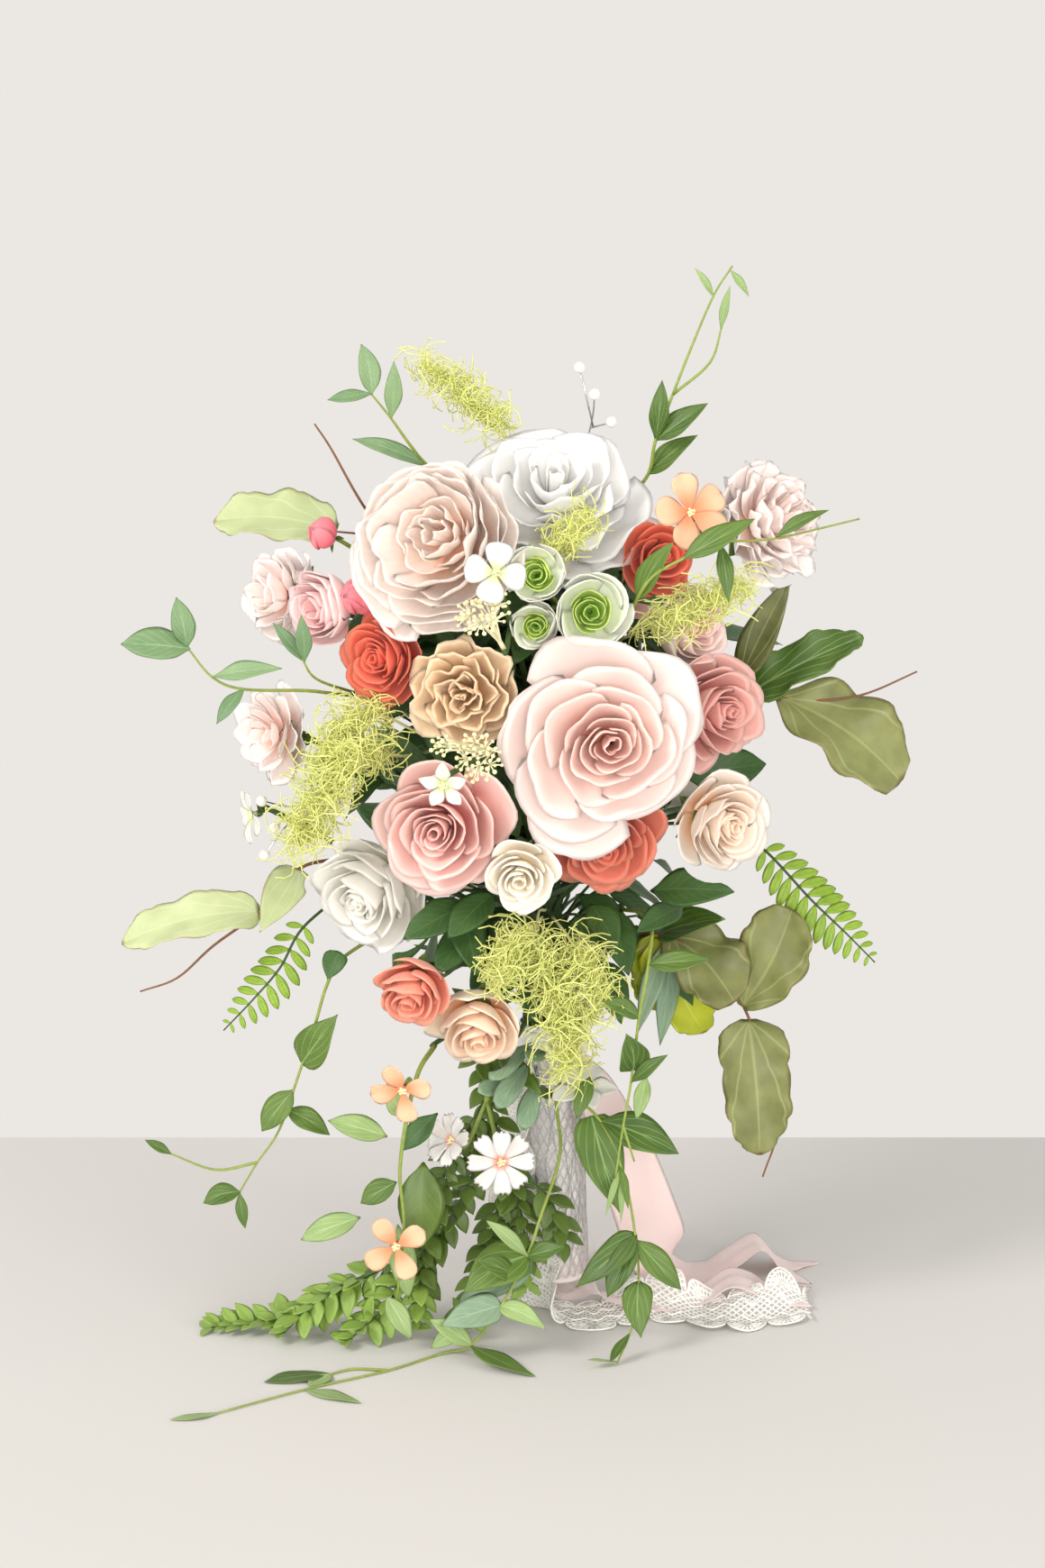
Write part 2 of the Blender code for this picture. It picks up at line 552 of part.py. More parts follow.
# Foliage. Each spray: finish, the stems that grow from its root, and its leaves as
# base, tip, width, shape. A leaf's base is moved to the nearest stem of the spray.
SPRAYS = {
    "vine_left_upper": ("leaf_pale", [
        [(-62, -12, 352), (-103, -50, 350), (-130, -74, 356), (-162, -88, 359), (-178, -92, 366), (-191, -92, 382)],
        [(-103, -50, 350), (-124, -86, 364), (-131, -95, 376)]],
     [((-191, -92, 380), (-225, -95, 384), 21, "oval"), ((-191, -92, 383), (-196, -92, 408), 13, "oval"),
      ((-178, -92, 366), (-141, -100, 372), 12, "narrow"), ((-131, -95, 373), (-131, -99, 400), 9, "narrow"),
      ((-131, -95, 373), (-146, -94, 395), 8, "narrow"), ((-162, -88, 359), (-176, -96, 342), 9, "narrow")]),
    "vine_top_left": ("leaf_pale", [
        [(-36, -2, 442), (-66, -26, 469), (-76, -38, 482), (-86, -45, 497), (-96, -50, 510)]],
     [((-96, -50, 510), (-101, -50, 536), 12, "oval"), ((-96, -50, 510), (-119, -52, 507), 9, "narrow"),
      ((-86, -45, 497), (-84, -50, 527), 10, "narrow"), ((-66, -26, 469), (-108, -18, 484), 11, "narrow")]),
    "tendril_top": ("leaf_pale", [
        [(26, 4, 428), (40, -14, 450), (48, -32, 466), (54, -42, 485), (63, -40, 509), (72, -38, 532),
         (84, -35, 560), (94, -35, 576)],
        [(63, -40, 509), (82, -46, 526), (88, -48, 545)]],
     [((54, -42, 485), (57, -47, 517), 11, "narrow"), ((54, -42, 485), (81, -48, 505), 14, "oval"),
      ((48, -32, 466), (76, -44, 488), 14, "oval"), ((84, -35, 560), (74, -38, 575), 6, "narrow"),
      ((94, -35, 576), (108, -35, 566), 6, "narrow")]),
    "vine_right_mid": ("leaf_pale", [
        [(22, -24, 350), (34, -60, 378), (42, -106, 408), (50, -117, 422), (64, -121, 431), (84, -116, 439),
         (113, -105, 440), (157, -95, 449)]],
     [((42, -106, 408), (60, -120, 440), 13, "oval"), ((64, -120, 433), (101, -122, 452), 14, "oval"),
      ((84, -116, 439), (88, -126, 410), 9, "narrow"), ((113, -105, 440), (140, -108, 455), 8, "narrow")]),
    "vine_right_hang": ("leaf", [
        [(38, -24, 226), (52, -70, 232), (50, -100, 214), (45, -105, 186), (41, -105, 151), (37, -106, 127),
         (33, -106, 98)],
        [(37, -106, 127), (43, -108, 108)]],
     [((45, -105, 186), (26, -108, 196), 11, "oval"), ((41, -105, 158), (38, -114, 180), 18, "heart"),
      ((50, -100, 214), (82, -108, 219), 13, "oval"), ((41, -105, 151), (60, -112, 168), 9, "narrow")]),
    "vine_left_low": ("leaf", [
        [(-50, 6, 204), (-86, -16, 212), (-114, -44, 204), (-122, -65, 194), (-129, -68, 171), (-139, -70, 141),
         (-149, -70, 113), (-161, -70, 95), (-171, -70, 78)],
        [(-161, -70, 95), (-184, -70, 91), (-208, -70, 100)]],
     [((-131, -70, 150), (-116, -76, 180), 22, "heart"), ((-139, -70, 135), (-158, -74, 114), 16, "oval"),
      ((-139, -70, 123), (-121, -74, 112), 13, "oval"), ((-171, -70, 78), (-191, -70, 72), 13, "oval"),
      ((-171, -70, 78), (-168, -72, 58), 7, "narrow"), ((-208, -70, 100), (-222, -70, 108), 6, "narrow")]),
    "grape_left_up": ("leaf_pale", [
        [(-54, 14, 416), (-92, 6, 428), (-121, 2, 432)],
        [(-92, 6, 428), (-106, -8, 452), (-120, -10, 478), (-129, -6, 491)]],
     [((-119, 2, 431), (-186, 8, 437), 34, "lobed")]),
    "grape_left_low": ("leaf_olive", [
        [(-52, 2, 262), (-112, -18, 254), (-138, -38, 252), (-156, -50, 233), (-184, -55, 213), (-204, -55, 195),
         (-225, -50, 186)]],
     [((-160, -50, 231), (-233, -62, 216), 28, "lobed"), ((-138, -40, 252), (-157, -78, 226), 25, "heart")]),
    "grape_right_mid": ("leaf_olive", [
        [(58, 2, 350), (100, -18, 348), (124, -18, 343), (150, -20, 342), (172, -20, 346), (199, -15, 357)]],
     [((124, -15, 338), (190, -28, 296), 48, "lobed"), ((112, -20, 360), (168, -26, 378), 29, "lobed"),
      ((98, -25, 370), (128, -26, 410), 20, "oval")]),
    "grape_right_low": ("leaf_olive", [
        [(40, -6, 206), (64, -38, 214), (86, -48, 200), (104, -50, 178), (117, -52, 141), (124, -52, 110),
         (116, -52, 81)]],
     [((64, -44, 222), (88, -66, 166), 42, "lobed"), ((104, -50, 178), (130, -50, 232), 36, "lobed"),
      ((108, -50, 170), (113, -66, 98), 40, "lobed"), ((64, -38, 214), (70, -40, 152), 26, "lobed"),
      ((64, -44, 222), (58, -66, 160), 14, "narrow")]),
    "clematis": ("leaf", [
        [(8, -20, 184), (12, -52, 172), (13, -56, 156), (9, -62, 134), (4, -74, 102), (-6, -94, 75),
         (-14, -105, 54), (-28, -116, 30), (-44, -116, 8), (-58, -109, 0.9), (-88, -134, 0.9), (-130, -160, 0.9),
         (-172, -191, 0.9)],
        [(9, -62, 134), (26, -76, 120), (38, -88, 94), (44, -96, 64), (46, -102, 38), (42, -112, 16), (34, -124, 0.9)],
        [(-88, -134, 0.9), (-106, -132, 0.9), (-118, -139, 0.9)]],
     [((26, -76, 122), (68, -82, 104), 22, "oval"), ((9, -62, 134), (-16, -70, 133), 8, "narrow"),
      ((14, -74, 118), (36, -92, 74), 26, "heart"), ((-14, -105, 54), (-48, -118, 38), 26, "heart"),
      ((44, -96, 63), (12, -104, 36), 17, "heart"), ((44, -96, 63), (29, -108, 32), 15, "oval"),
      ((46, -102, 38), (47, -116, 12), 17, "heart"), ((44, -96, 60), (69, -102, 34), 15, "oval"),
      ((-14, -105, 54), (6, -112, 62), 12, "oval"), ((-118, -139, 0.9), (-152, -150, 0.9), 17, "oval"),
      ((-44, -116, 6), (-10, -142, 0.9), 15, "oval"), ((-130, -160, 0.9), (-100, -178, 0.9), 11, "oval"),
      ((-172, -191, 0.9), (-196, -200, 0.9), 8, "narrow")]),
}

# Fronds: the rib, then how long the leaflets are.
FRONDS = {
    "fern_left": ("leaf", [(-50, 6, 240), (-96, -2, 240), (-134, -34, 221), (-149, -45, 198), (-164, -50, 181),
                           (-180, -50, 164)], 16),
    "fern_right": ("leaf_pale", [(54, 4, 268), (92, -6, 270), (114, -28, 262), (141, -40, 235), (160, -43, 217),
                                 (176, -45, 201)], 19),
}
LEAFLETS = 8

# Curly moss strands: a slim core with fine needles.
STRANDS = {
    "moss_left": [(-46, -20, 318), (-82, -58, 318), (-102, -92, 328), (-117, -104, 317), (-130, -105, 299),
                  (-140, -100, 280)],
    "moss_low": [(-4, -26, 226), (-8, -60, 232), (-9, -96, 222), (-6, -99, 204), (2, -97, 180), (3, -95, 154)],
}
NEEDLES = 16

# Boxwood: thin branches with small leaves along both sides.
BOXWOOD = [
    [(-28, -12, 178), (-38, -34, 152), (-34, -46, 120), (-24, -56, 88), (-16, -64, 58), (-14, -72, 26)],
    [(-34, -48, 116), (-46, -62, 80), (-66, -72, 52), (-105, -76, 30), (-146, -72, 6), (-188, -72, 0.9)],
    [(-66, -72, 52), (-88, -84, 22), (-112, -94, 0.9)],
    [(-24, -58, 88), (-36, -68, 46), (-46, -76, 14), (-52, -90, 0.9)],
]

# Berries: the root of the umbel, the centre of the cluster, its width and the count.
UMBELS = {
    "berries_front": [((-28, -122, 389), (-38, -142, 410), 30, 8)],
    "berries_left": [((-31, -112, 331), (-40, -150, 334), 26, 7), ((-31, -112, 331), (-59, -153, 341), 12, 3)],
}
PEARLS = {
    "pearls_left": [[(-96, -4, 292), (-138, -24, 284), (-158, -46, 291)], [(-138, -24, 284), (-150, -54, 278)],
                    [(-138, -24, 284), (-156, -50, 262)]],
    "pearls_top": [[(12, 0, 456), (18, -14, 488), (22, -24, 508)], [(18, -14, 488), (30, -26, 492)],
                   [(18, -14, 488), (14, -18, 522)]],
}


def near_stem(point, stems):
    """The nearest point on any of the stems."""
    point, best = np.array(point, float), None
    for line in stems:
        for a, b in zip(line, line[1:]):
            t = np.clip((point - a) @ (b - a) / max((b - a) @ (b - a), 1e-9), 0, 1)
            spot = a + (b - a) * t
            far = np.linalg.norm(spot - point)
            if best is None or far < best[0]:
                best = (far, spot)
    return best[1]


def pushed(line):
    return np.array([np.array(line[0], float)] + [CLEAR.push(p) for p in line[1:]])


def spray_shapes(stems, leaves, thick=1.2):
    """Stems and the leaves that grow from them."""
    lines = [pushed(line) for line in stems]
    for n, line in enumerate(lines[1:], 1):
        line[0] = near_stem(line[0], lines[:n])
    shapes = []
    for n, line in enumerate(lines):
        start = thick if n == 0 else 0.75 * thick
        shapes.append(tube(line, np.linspace(start, 0.55, len(line)), 5 if n == 0 else 4))
    for base, tip, width, shape in leaves:
        tip = np.array(tip, float)
        root = near_stem(base, lines)
        root = root - unit(tip - root) * 0.8
        up = np.array((0.0, -0.75, 0.65)) if tip[2] > 6 else np.array((0.0, 0.0, 1.0))
        bend = 0.5 if tip[2] > 6 else 0.0
        length = np.linalg.norm(tip - root)
        ahead = unit(tip - root)
        lean = math.sin(bend / 2)
        side = unit(np.cross(ahead, up))
        upper = np.cross(side, ahead)
        wave = 0.035 * width if shape == "lobed" else 0.0
        shapes.append(leaf(root, ahead + upper * lean, upper, length * 1.01, width, shape, bend,
                           0.2 if tip[2] > 6 else 0.05, wave))
    return shapes, lines


def frond_shape(rib, length):
    """A fern frond as one thin blade, cut to the rib between its leaflets."""
    rib = pushed(rib)
    spans = np.cumsum([0, *np.linalg.norm(np.diff(rib, axis=0), axis=1)])
    bare = spans[2]

    def spot(at):
        return np.array([np.interp(at, spans, rib[:, k]) for k in range(3)])

    upper = unit((0.0, -0.85, 0.5))
    stations = [(0.0, 0.9, 0.0), (spans[1], 0.9, 0.0), (bare - 2, 0.9, 0.0)]
    pitch = (spans[-1] - bare - 4) / LEAFLETS
    for n in range(LEAFLETS):
        size = length * math.sin(math.pi * (0.20 + 0.72 * (n + 0.5) / LEAFLETS))
        stations += [(bare + n * pitch, 0.9, 0.0), (bare + (n + 0.30) * pitch, size, 0.45),
                     (bare + (n + 0.62) * pitch, 0.8 * size, 0.55)]
    stations.append((spans[-1] - 3, 0.8, 0.0))
    top = []
    for at, half, lean in stations:
        here, ahead = spot(at), unit(spot(at + 2) - spot(at - 2))
        side = unit(np.cross(ahead, upper))
        droop = upper * (0.12 * half if half > 2 else 0.0)
        reach = side * half
        top.append([CLEAR.push(here - reach + ahead * lean * half - droop), here,
                    CLEAR.push(here + reach + ahead * lean * half - droop)])
    surface = [p for row in top for p in row]
    size = len(surface)
    surface = np.array(surface)
    thick = upper * BLADE * 0.6
    points = np.vstack((surface + thick, surface - thick))
    faces = []
    for i in range(len(top) - 1):
        a, b = 3 * i, 3 * (i + 1)
        faces += [(a + 1, b + 1, a), (a, b + 1, b), (a + 1, a + 2, b + 1), (a + 2, b + 2, b + 1)]
    under = [(a + size, c + size, b + size) for a, b, c in faces]
    last = 3 * (len(top) - 1)
    rim = [*range(2, size, 3), last + 1, *range(last, -1, -3), 1]
    for a, b in zip(rim, rim[1:] + rim[:1]):
        under += [(a + size, b + size, b), (a + size, b, a)]
    return points, faces + under


def strand_shapes(core, rng):
    core = pushed(core)
    line = core
    shapes = [tube(line, np.linspace(1.0, 0.6, len(line)), 4)]
    for n in range(NEEDLES):
        share = 0.30 + 0.68 * n / NEEDLES
        place = share * (len(line) - 1)
        low = int(place)
        spot = line[low] + (line[min(low + 1, len(line) - 1)] - line[low]) * (place - low)
        angle = 2.4 * n
        side, other = axes_about(line[min(low + 1, len(line) - 1)] - line[low])
        out = math.cos(angle) * side + math.sin(angle) * other
        out = unit(out + np.array((0, -0.35, -0.25)))
        reach = rng.uniform(9, 15)
        bend = 3.0 * unit(np.cross(out, (0.3, 0.5, 1.0)))
        shapes.append(needle(spot, spot + out * reach, bend, 0.62))
    return shapes, core


def boxwood_shapes(rng):
    lines = [pushed(line) for line in BOXWOOD]
    for n, line in enumerate(lines[1:], 1):
        line[0] = near_stem(line[0], lines[:n])
    shapes = [tube(line, np.linspace(1.1, 0.6, len(line)), 4) for line in lines]
    for n, line in enumerate(lines):
        spans = np.cumsum([0, *np.linalg.norm(np.diff(line, axis=0), axis=1)])
        count = max(3, int((spans[-1] - (30 if n == 0 else 14)) / 13))
        for k in range(count):
            at = spans[-1] - 13 * k - 1
            spot = np.array([np.interp(at, spans, line[:, a]) for a in range(3)])
            ahead = unit(line[-1] - line[-2]) if k < 2 else unit(line[-1] - spot)
            side = unit(np.cross(ahead, (0.0, -0.7, 0.7))) * (1 if k % 2 else -1)
            along = unit(ahead * 0.6 + side * (0.9 if k else 0.0) + np.array((0, -0.3, 0)))
            flat = spot[2] < 9
            if flat:
                along = unit((along[0], along[1], 0.12))
            up = np.array((0.0, 0.0, 1.0)) if flat else np.array((0.2 * side[0], -0.8, 0.5))
            shapes.append(leaf(spot, along, up, rng.uniform(13, 18), rng.uniform(7.5, 9.5), "short", 0.25, 0.15))
    return shapes, lines[0]


def umbel_shapes(clusters):
    shapes = []
    root = np.array(clusters[0][0], float)
    for start, centre, width, count in clusters:
        centre = np.array(centre, float)
        side, other = axes_about(centre - root)
        ahead = unit(centre - root)
        for n in range(count):
            far = width / 2 * math.sqrt((n + 0.3) / count)
            spot = centre + far * (math.cos(2.4 * n) * side + math.sin(2.4 * n) * other)
            spot = CLEAR.push(spot - ahead * far * 0.25, 3.6)
            shapes.append(tube([root - ahead * 2, spot], [0.9, 0.6], 3))
            shapes.append(ball(spot, 3.0))
    shapes.insert(0, tube([root - unit(centre - root) * 6, root + unit(centre - root) * 2], [1.4, 1.3], 5))
    return shapes, [root - unit(centre - root) * 6, root]


def pearl_shapes(wires):
    lines = [pushed(line) for line in wires]
    for n, line in enumerate(lines[1:], 1):
        line[0] = near_stem(line[0], lines[:n])
    shapes = [tube(line, 0.6, 4) for line in lines]
    shapes += [ball(line[-1], 3.2) for line in lines]
    return shapes, lines[0]


# Ribbons: centre line, the direction across the ribbon, and its width at each point.
RIBBONS = {
    "ribbon_tail_right": ("ribbon", [
        ((13.8, -15.7, 157), (0.77, 0.64, 0), 12), ((13.8, -15.7, 140), (0.77, 0.64, 0), 14),
        ((24, -17, 122), (0.82, 0.57, 0), 32), ((36, -12, 92), (0.85, 0.53, 0), 40),
        ((48, -7, 60), (0.85, 0.53, 0), 42), ((58, -2, 30), (0.82, 0.57, 0), 42),
        ((66, 4, 10), (0.66, 0.75, 0), 42), ((78, 12, 2.2), (0.30, 0.95, 0), 40), ((92, 18, 0.8), (0.0, 1, 0), 38),
        ((106, 22, 9), (-0.1, 1, 0), 36), ((120, 22, 17), (-0.1, 1, 0), 36), ((132, 20, 6), (-0.1, 1, 0), 36),
        ((142, 18, 0.8), (-0.1, 1, 0), 36), ((154, 15, 0.6), (-0.1, 1, 0), 36)]),
    "ribbon_tail_front": ("ribbon", [
        ((-2, -20.8, 155), (1, 0, 0), 12), ((-2, -21.4, 136), (1, 0, 0), 14), ((-1, -24.5, 100), (1, 0, 0), 28),
        ((0, -27.0, 60), (1, 0, 0), 36), ((6, -31, 28), (1, 0, 0), 37), ((18, -38, 13), (0.85, -0.5, 0), 34),
        ((36, -39, 6), (0.4, -0.9, 0), 33), ((60, -34, 2.6), (0, -1, 0), 34), ((84, -29, 4), (0, -1, 0), 34),
        ((100, -26, 12), (0, -1, 0), 34), ((112, -26, 10), (0, -1, 0), 34), ((124, -27, 3.4), (0, -1, 0), 34),
        ((148, -28, 2.2), (0, -1, 0), 34)]),
    "lace_tail": ("lace", [
        ((-13.2, -15.6, 136), (0.77, -0.64, 0), 12), ((-20, -21, 116), (0.85, -0.53, 0), 14),
        ((-22, -30, 82), (0.95, -0.3, 0), 26), ((-19, -35, 52), (0.97, -0.22, 0), 36),
        ((-14, -42, 24), (0.9, -0.44, 0), 44), ((0, -50, 4), (0.6, -0.8, 0), 46), ((22, -54, 0.5), (0.2, -1, 0), 46),
        ((50, -47, 0.5), (0, -1, 0), 48), ((80, -48, 0.5), (0, -1, 0), 48), ((112, -50, 0.5), (0, -1, 0), 48),
        ((144, -50, 0.5), (0, -1, 0), 48)]),
}

# Branches that need to bend round a bloom, with the point they pass.
VIA = {
    "berries_left": (-17, -58, 334), "berries_front": (-20, -72, 386),
    "rose_coral_right": (16, -8, 410), "orchid_peach_right": (82, -42, 434),
    "star_flower": (-24, -96, 321), "rose_cream_small": (-14, -60, 240),
    "rose_ivory_left": (-40, -20, 226), "cosmos_white": (-16, -40, 164),
    "floret_white_front": (-24, -106, 401),
}

# Rose leaves that close the gaps between the blooms and over the back.
COLLAR_LEAVES = [
    ((-40, 10, 420), (-96, 40, 452), 30), ((10, 20, 440), (6, 70, 480), 32), ((60, 10, 420), (104, 34, 440), 30),
    ((90, 20, 370), (132, 40, 372), 30), ((60, 30, 270), (112, 52, 262), 32), ((-60, 30, 260), (-112, 52, 262), 32),
    ((-70, 20, 380), (-128, 44, 384), 30), ((0, 40, 240), (0, 92, 208), 32), ((-30, 0, 205), (-76, 20, 184), 26),
    ((30, 4, 205), (74, 24, 190), 26), ((70, -20, 300), (122, -8, 306), 26), ((-70, -10, 300), (-128, 8, 304), 26),
    ((-28, -36, 224), (-30, -84, 200), 30), ((16, -34, 212), (22, -76, 190), 26), ((-62, -40, 224), (-70, -62, 182), 26),
    ((40, -50, 318), (58, -92, 300), 26), ((-30, -60, 312), (-16, -104, 300), 26),
    ((-92, -40, 300), (-118, -88, 296), 30), ((60, -40, 372), (52, -84, 362), 26),
    ((-96, -40, 402), (-112, -66, 366), 22), ((22, -44, 412), (24, -90, 424), 22),
]


def ribbon(name):
    finish, rows = RIBBONS[name]
    line = catmull([row[0] for row in rows], 2)
    across = catmull([row[1] for row in rows], 2)
    width = catmull([(row[2], 0, 0) for row in rows], 2)[:, 0]
    line[:, 2] = np.maximum(line[:, 2], 0.5)
    return add_object(name, strip(line, across, width), finish)


# Nodes that are one bloom each, with their finish.
SINGLES = {
    "rose_blush_large": "blush", "rose_white_large": "white", "peony_peach": "peach",
    "rose_coral_left": "coral", "rose_champagne": "champagne", "rose_dusty_large": "dusty",
    "rose_dusty_right": "dusty", "rose_peach_right": "peach", "rose_ivory_left": "ivory",
    "rose_cream_small": "cream", "rose_terracotta": "terracotta", "rose_coral_small": "coral",
    "rose_peach_low": "apricot", "carnation_pink": "blush", "ranunculus_pale_left": "blush",
    "ranunculus_rose_left": "pink", "gardenia_left": "cream", "rose_coral_right": "coral",
    "rose_blush_right": "blush", "rose_ivory_back": "ivory", "rose_dusty_back": "dusty",
    "rose_blush_back": "blush", "rose_champagne_back": "champagne", "rose_peach_back": "peach",
    "orchid_peach_right": "apricot", "floret_white_front": "white", "star_flower": "white",
    "floret_white_low": "white", "floret_white_left": "white",
}

# Nodes with several flowers on one branching stalk: finish, root, and the flowers.
CLUSTERS = {
    "ranunculus_green": ("lime", [(2, -74, 402)],
                         ["ranunculus_green_a", "ranunculus_green_b", "ranunculus_green_c"]),
    "buds_pink": ("pink", [(-96, -36, 420)], ["bud_pink_top", "bud_pink_side"]),
    "cosmos_white": ("white", [(-36, -62, 128)], ["cosmos_front", "cosmos_side"]),
    "orchid_peach": ("apricot", [(-64, -66, 160), (-72, -88, 152), (-78, -98, 130), (-82, -102, 100),
                                 (-80, -104, 70), (-84, -106, 30)], ["orchid_peach_low", "orchid_peach_base"]),
}


def cluster_shapes(name):
    """Flowers whose stalks leave one stem."""
    _, stem, flowers = CLUSTERS[name]
    stem = [np.array(p, float) for p in stem]
    shapes = []
    if len(stem) > 1:
        shapes.append(tube(stem, np.linspace(1.5, 0.7, len(stem)), 5))
    for flower in flowers:
        base, axis = bloom_base(flower)
        start = near_stem(base, [stem]) if len(stem) > 1 else stem[0]
        shapes.append(tube([start, base - axis * 7, base + axis * 1.5], [1.3, 1.3, 1.3], 4))
        shapes.append(flower_shape(flower))
    if len(stem) == 1:
        middle = sum(bloom_base(f)[0] for f in flowers) / len(flowers)
        stem = [stem[0] - unit(middle - stem[0]) * 6, stem[0] + unit(middle - stem[0]) * 2]
        shapes.insert(0, tube(stem, [1.6, 1.5], 5))
    return shapes, stem


def fill_clearance():
    for name, (kind, _, _, diameter) in BLOOMS.items():
        base, axis = bloom_base(name)
        depth = KINDS[kind]["depth"] * diameter
        CLEAR.add(base + axis * 0.55 * depth, axis, WIDEST * diameter / 2, 0.60 * depth)
    for name, (_, face, _, diameter, cup) in FLORETS.items():
        CLEAR.add(face, bloom_base(name)[1], diameter / 2, 3.0 + cup)


def build():
    clear_start()
    fill_clearance()
    rng = random.Random(7)
    ends = []

    def plug(name, line, thick=1.4):
        """A seat on the bundle for a piece whose stem starts along this line."""
        start = np.array(line[0], float)
        ahead = unit(np.array(line[1], float) - start)
        ends.append((name, start - ahead * GAP, ahead, thick))

    for name, finish in SINGLES.items():
        add_object(name, flower_shape(name), finish)
        base, axis = bloom_base(name)
        ends.append((name, base - axis * GAP, axis, seat_radius(name)))
    for name, (finish, _, _) in CLUSTERS.items():
        shapes, stem = cluster_shapes(name)
        fuse(name, shapes, finish)
        plug(name, stem)
    for name, (finish, stems, leaves) in SPRAYS.items():
        shapes, lines = spray_shapes(stems, leaves)
        fuse(name, shapes, finish)
        plug(name, lines[0])
    for name, (finish, rib, length) in FRONDS.items():
        add_object(name, frond_shape(rib, length), finish)
        plug(name, rib)
    for name, core in STRANDS.items():
        shapes, line = strand_shapes(core, rng)
        fuse(name, shapes, "moss")
        plug(name, line)
    shapes, line = boxwood_shapes(rng)
    fuse("boxwood_cascade", shapes, "leaf_dark")
    plug("boxwood_cascade", line)
    for name, clusters in UMBELS.items():
        shapes, line = umbel_shapes(clusters)
        fuse(name, shapes, "berry")
        plug(name, line)
    for name, wires in PEARLS.items():
        shapes, line = pearl_shapes(wires)
        fuse(name, shapes, "pearl")
        plug(name, line, 1.0)

    collar = []
    for base, tip, width in COLLAR_LEAVES:
        base, tip = np.array(base, float), np.array(tip, float)
        base, out = CLEAR.push(base), unit(base - HEAD_CENTRE)
        root = trunk_axis(min(max(base[2] - 30, CROWN_TOP + 8), 388))
        ahead = unit(tip - base)
        collar.append(tube([root, base + ahead * 3], [1.6, 1.1], 3))
        collar.append(leaf(base, ahead, unit(out + (0, 0, 0.6)), np.linalg.norm(tip - base), width, "oval", 0.4, 0.2))
    stem_bundle(ends, collar)

    sleeve("handle_wrap", (7.0, 156.0), -WRAP_WALL, WRAP_WALL, "satin")
    sleeve("lace_wrap", LACE_SPAN, GAP, LACE_WALL, "lace")
    sleeve("grip_band", BAND_SPAN, GAP, WRAP_WALL, "satin")
    for name in RIBBONS:
        ribbon(name)


build()
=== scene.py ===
import math

import bpy
import numpy as np
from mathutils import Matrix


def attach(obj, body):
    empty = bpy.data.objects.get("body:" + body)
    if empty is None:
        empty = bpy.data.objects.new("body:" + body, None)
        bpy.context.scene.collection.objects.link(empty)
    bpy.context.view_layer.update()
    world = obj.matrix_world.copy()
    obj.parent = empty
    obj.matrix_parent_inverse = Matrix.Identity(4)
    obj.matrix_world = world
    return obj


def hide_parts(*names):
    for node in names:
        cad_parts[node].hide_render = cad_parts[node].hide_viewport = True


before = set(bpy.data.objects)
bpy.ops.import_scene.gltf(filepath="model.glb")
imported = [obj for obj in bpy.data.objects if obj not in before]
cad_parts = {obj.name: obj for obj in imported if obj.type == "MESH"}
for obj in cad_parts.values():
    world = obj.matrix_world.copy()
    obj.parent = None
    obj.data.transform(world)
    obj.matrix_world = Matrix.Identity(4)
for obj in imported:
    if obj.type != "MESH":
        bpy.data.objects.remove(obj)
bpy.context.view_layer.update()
scene = bpy.context.scene
mm = 0.001  # sizes are in millimetres, and in metres where a node tree, a material or a lamp takes them
anyTurn = 6.28  # random turns and phases run from 0 to this
beadTurn, leafTurn = 2.4, 2.39996  # steps of about the golden angle spread beads and leaves evenly
seedling = np.random.default_rng(11)
print("frame loaded:", len(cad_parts), "nodes")


# small vector helpers

def unit(vector):
    vector = np.asarray(vector, float)
    return vector / max(np.linalg.norm(vector), 1e-9)


def facingVector(azimuth, elevation):
    az, el = math.radians(azimuth), math.radians(elevation)
    return np.array((math.sin(az) * math.cos(el), -math.cos(az) * math.cos(el), math.sin(el)))


def axesAbout(axis, hint=(0.0, 0.0, 1.0)):
    axis = unit(axis)
    side = np.cross(hint, axis)
    if np.linalg.norm(side) < 0.05:
        side = np.cross((0.0, 1.0, 0.0), axis)
    side = unit(side)
    return side, np.cross(axis, side)


def spoke(turn, side, other):
    # the direction at this angle round an axis
    return math.cos(turn) * side + math.sin(turn) * other


def smoothLine(points, steps):
    # a Catmull-Rom line through the points
    points = np.asarray(points, float)
    if len(points) < 3:
        t = np.linspace(0, 1, steps + 1)[:, None]
        return points[0] * (1 - t) + points[-1] * t
    ends = np.vstack((2 * points[0] - points[1], points, 2 * points[-1] - points[-2]))
    line = []
    for a, b, c, d in zip(ends, ends[1:], ends[2:], ends[3:]):
        for t in np.arange(steps) / steps:
            line.append(0.5 * (2 * b + (c - a) * t + (2 * a - 5 * b + 4 * c - d) * t**2
                               + (3 * b - a - 3 * c + d) * t**3))
    return np.array(line + [points[-1]])


def nearStem(point, stems):
    # the nearest point on any of the stems
    point, best = np.array(point, float), None
    for line in stems:
        for a, b in zip(line, line[1:]):
            t = np.clip((point - a) @ (b - a) / max((b - a) @ (b - a), 1e-9), 0, 1)
            spot = a + (b - a) * t
            far = np.linalg.norm(spot - point)
            if best is None or far < best[0]:
                best = (far, spot)
    return best[1]


def lengthsAlong(line):
    return np.concatenate(([0.0], np.cumsum(np.linalg.norm(np.diff(line, axis=0), axis=1))))


def pointAt(line, spans, at):
    # the point on a line at this length along it, or the points at these lengths
    return np.stack([np.interp(at, spans, line[:, k]) for k in range(3)], -1)


def ringPoints(radius, turn, z):
    # points round the handle's axis, at these radii, angles and heights
    return np.stack(np.broadcast_arrays(radius * np.cos(turn), radius * np.sin(turn), z), -1)


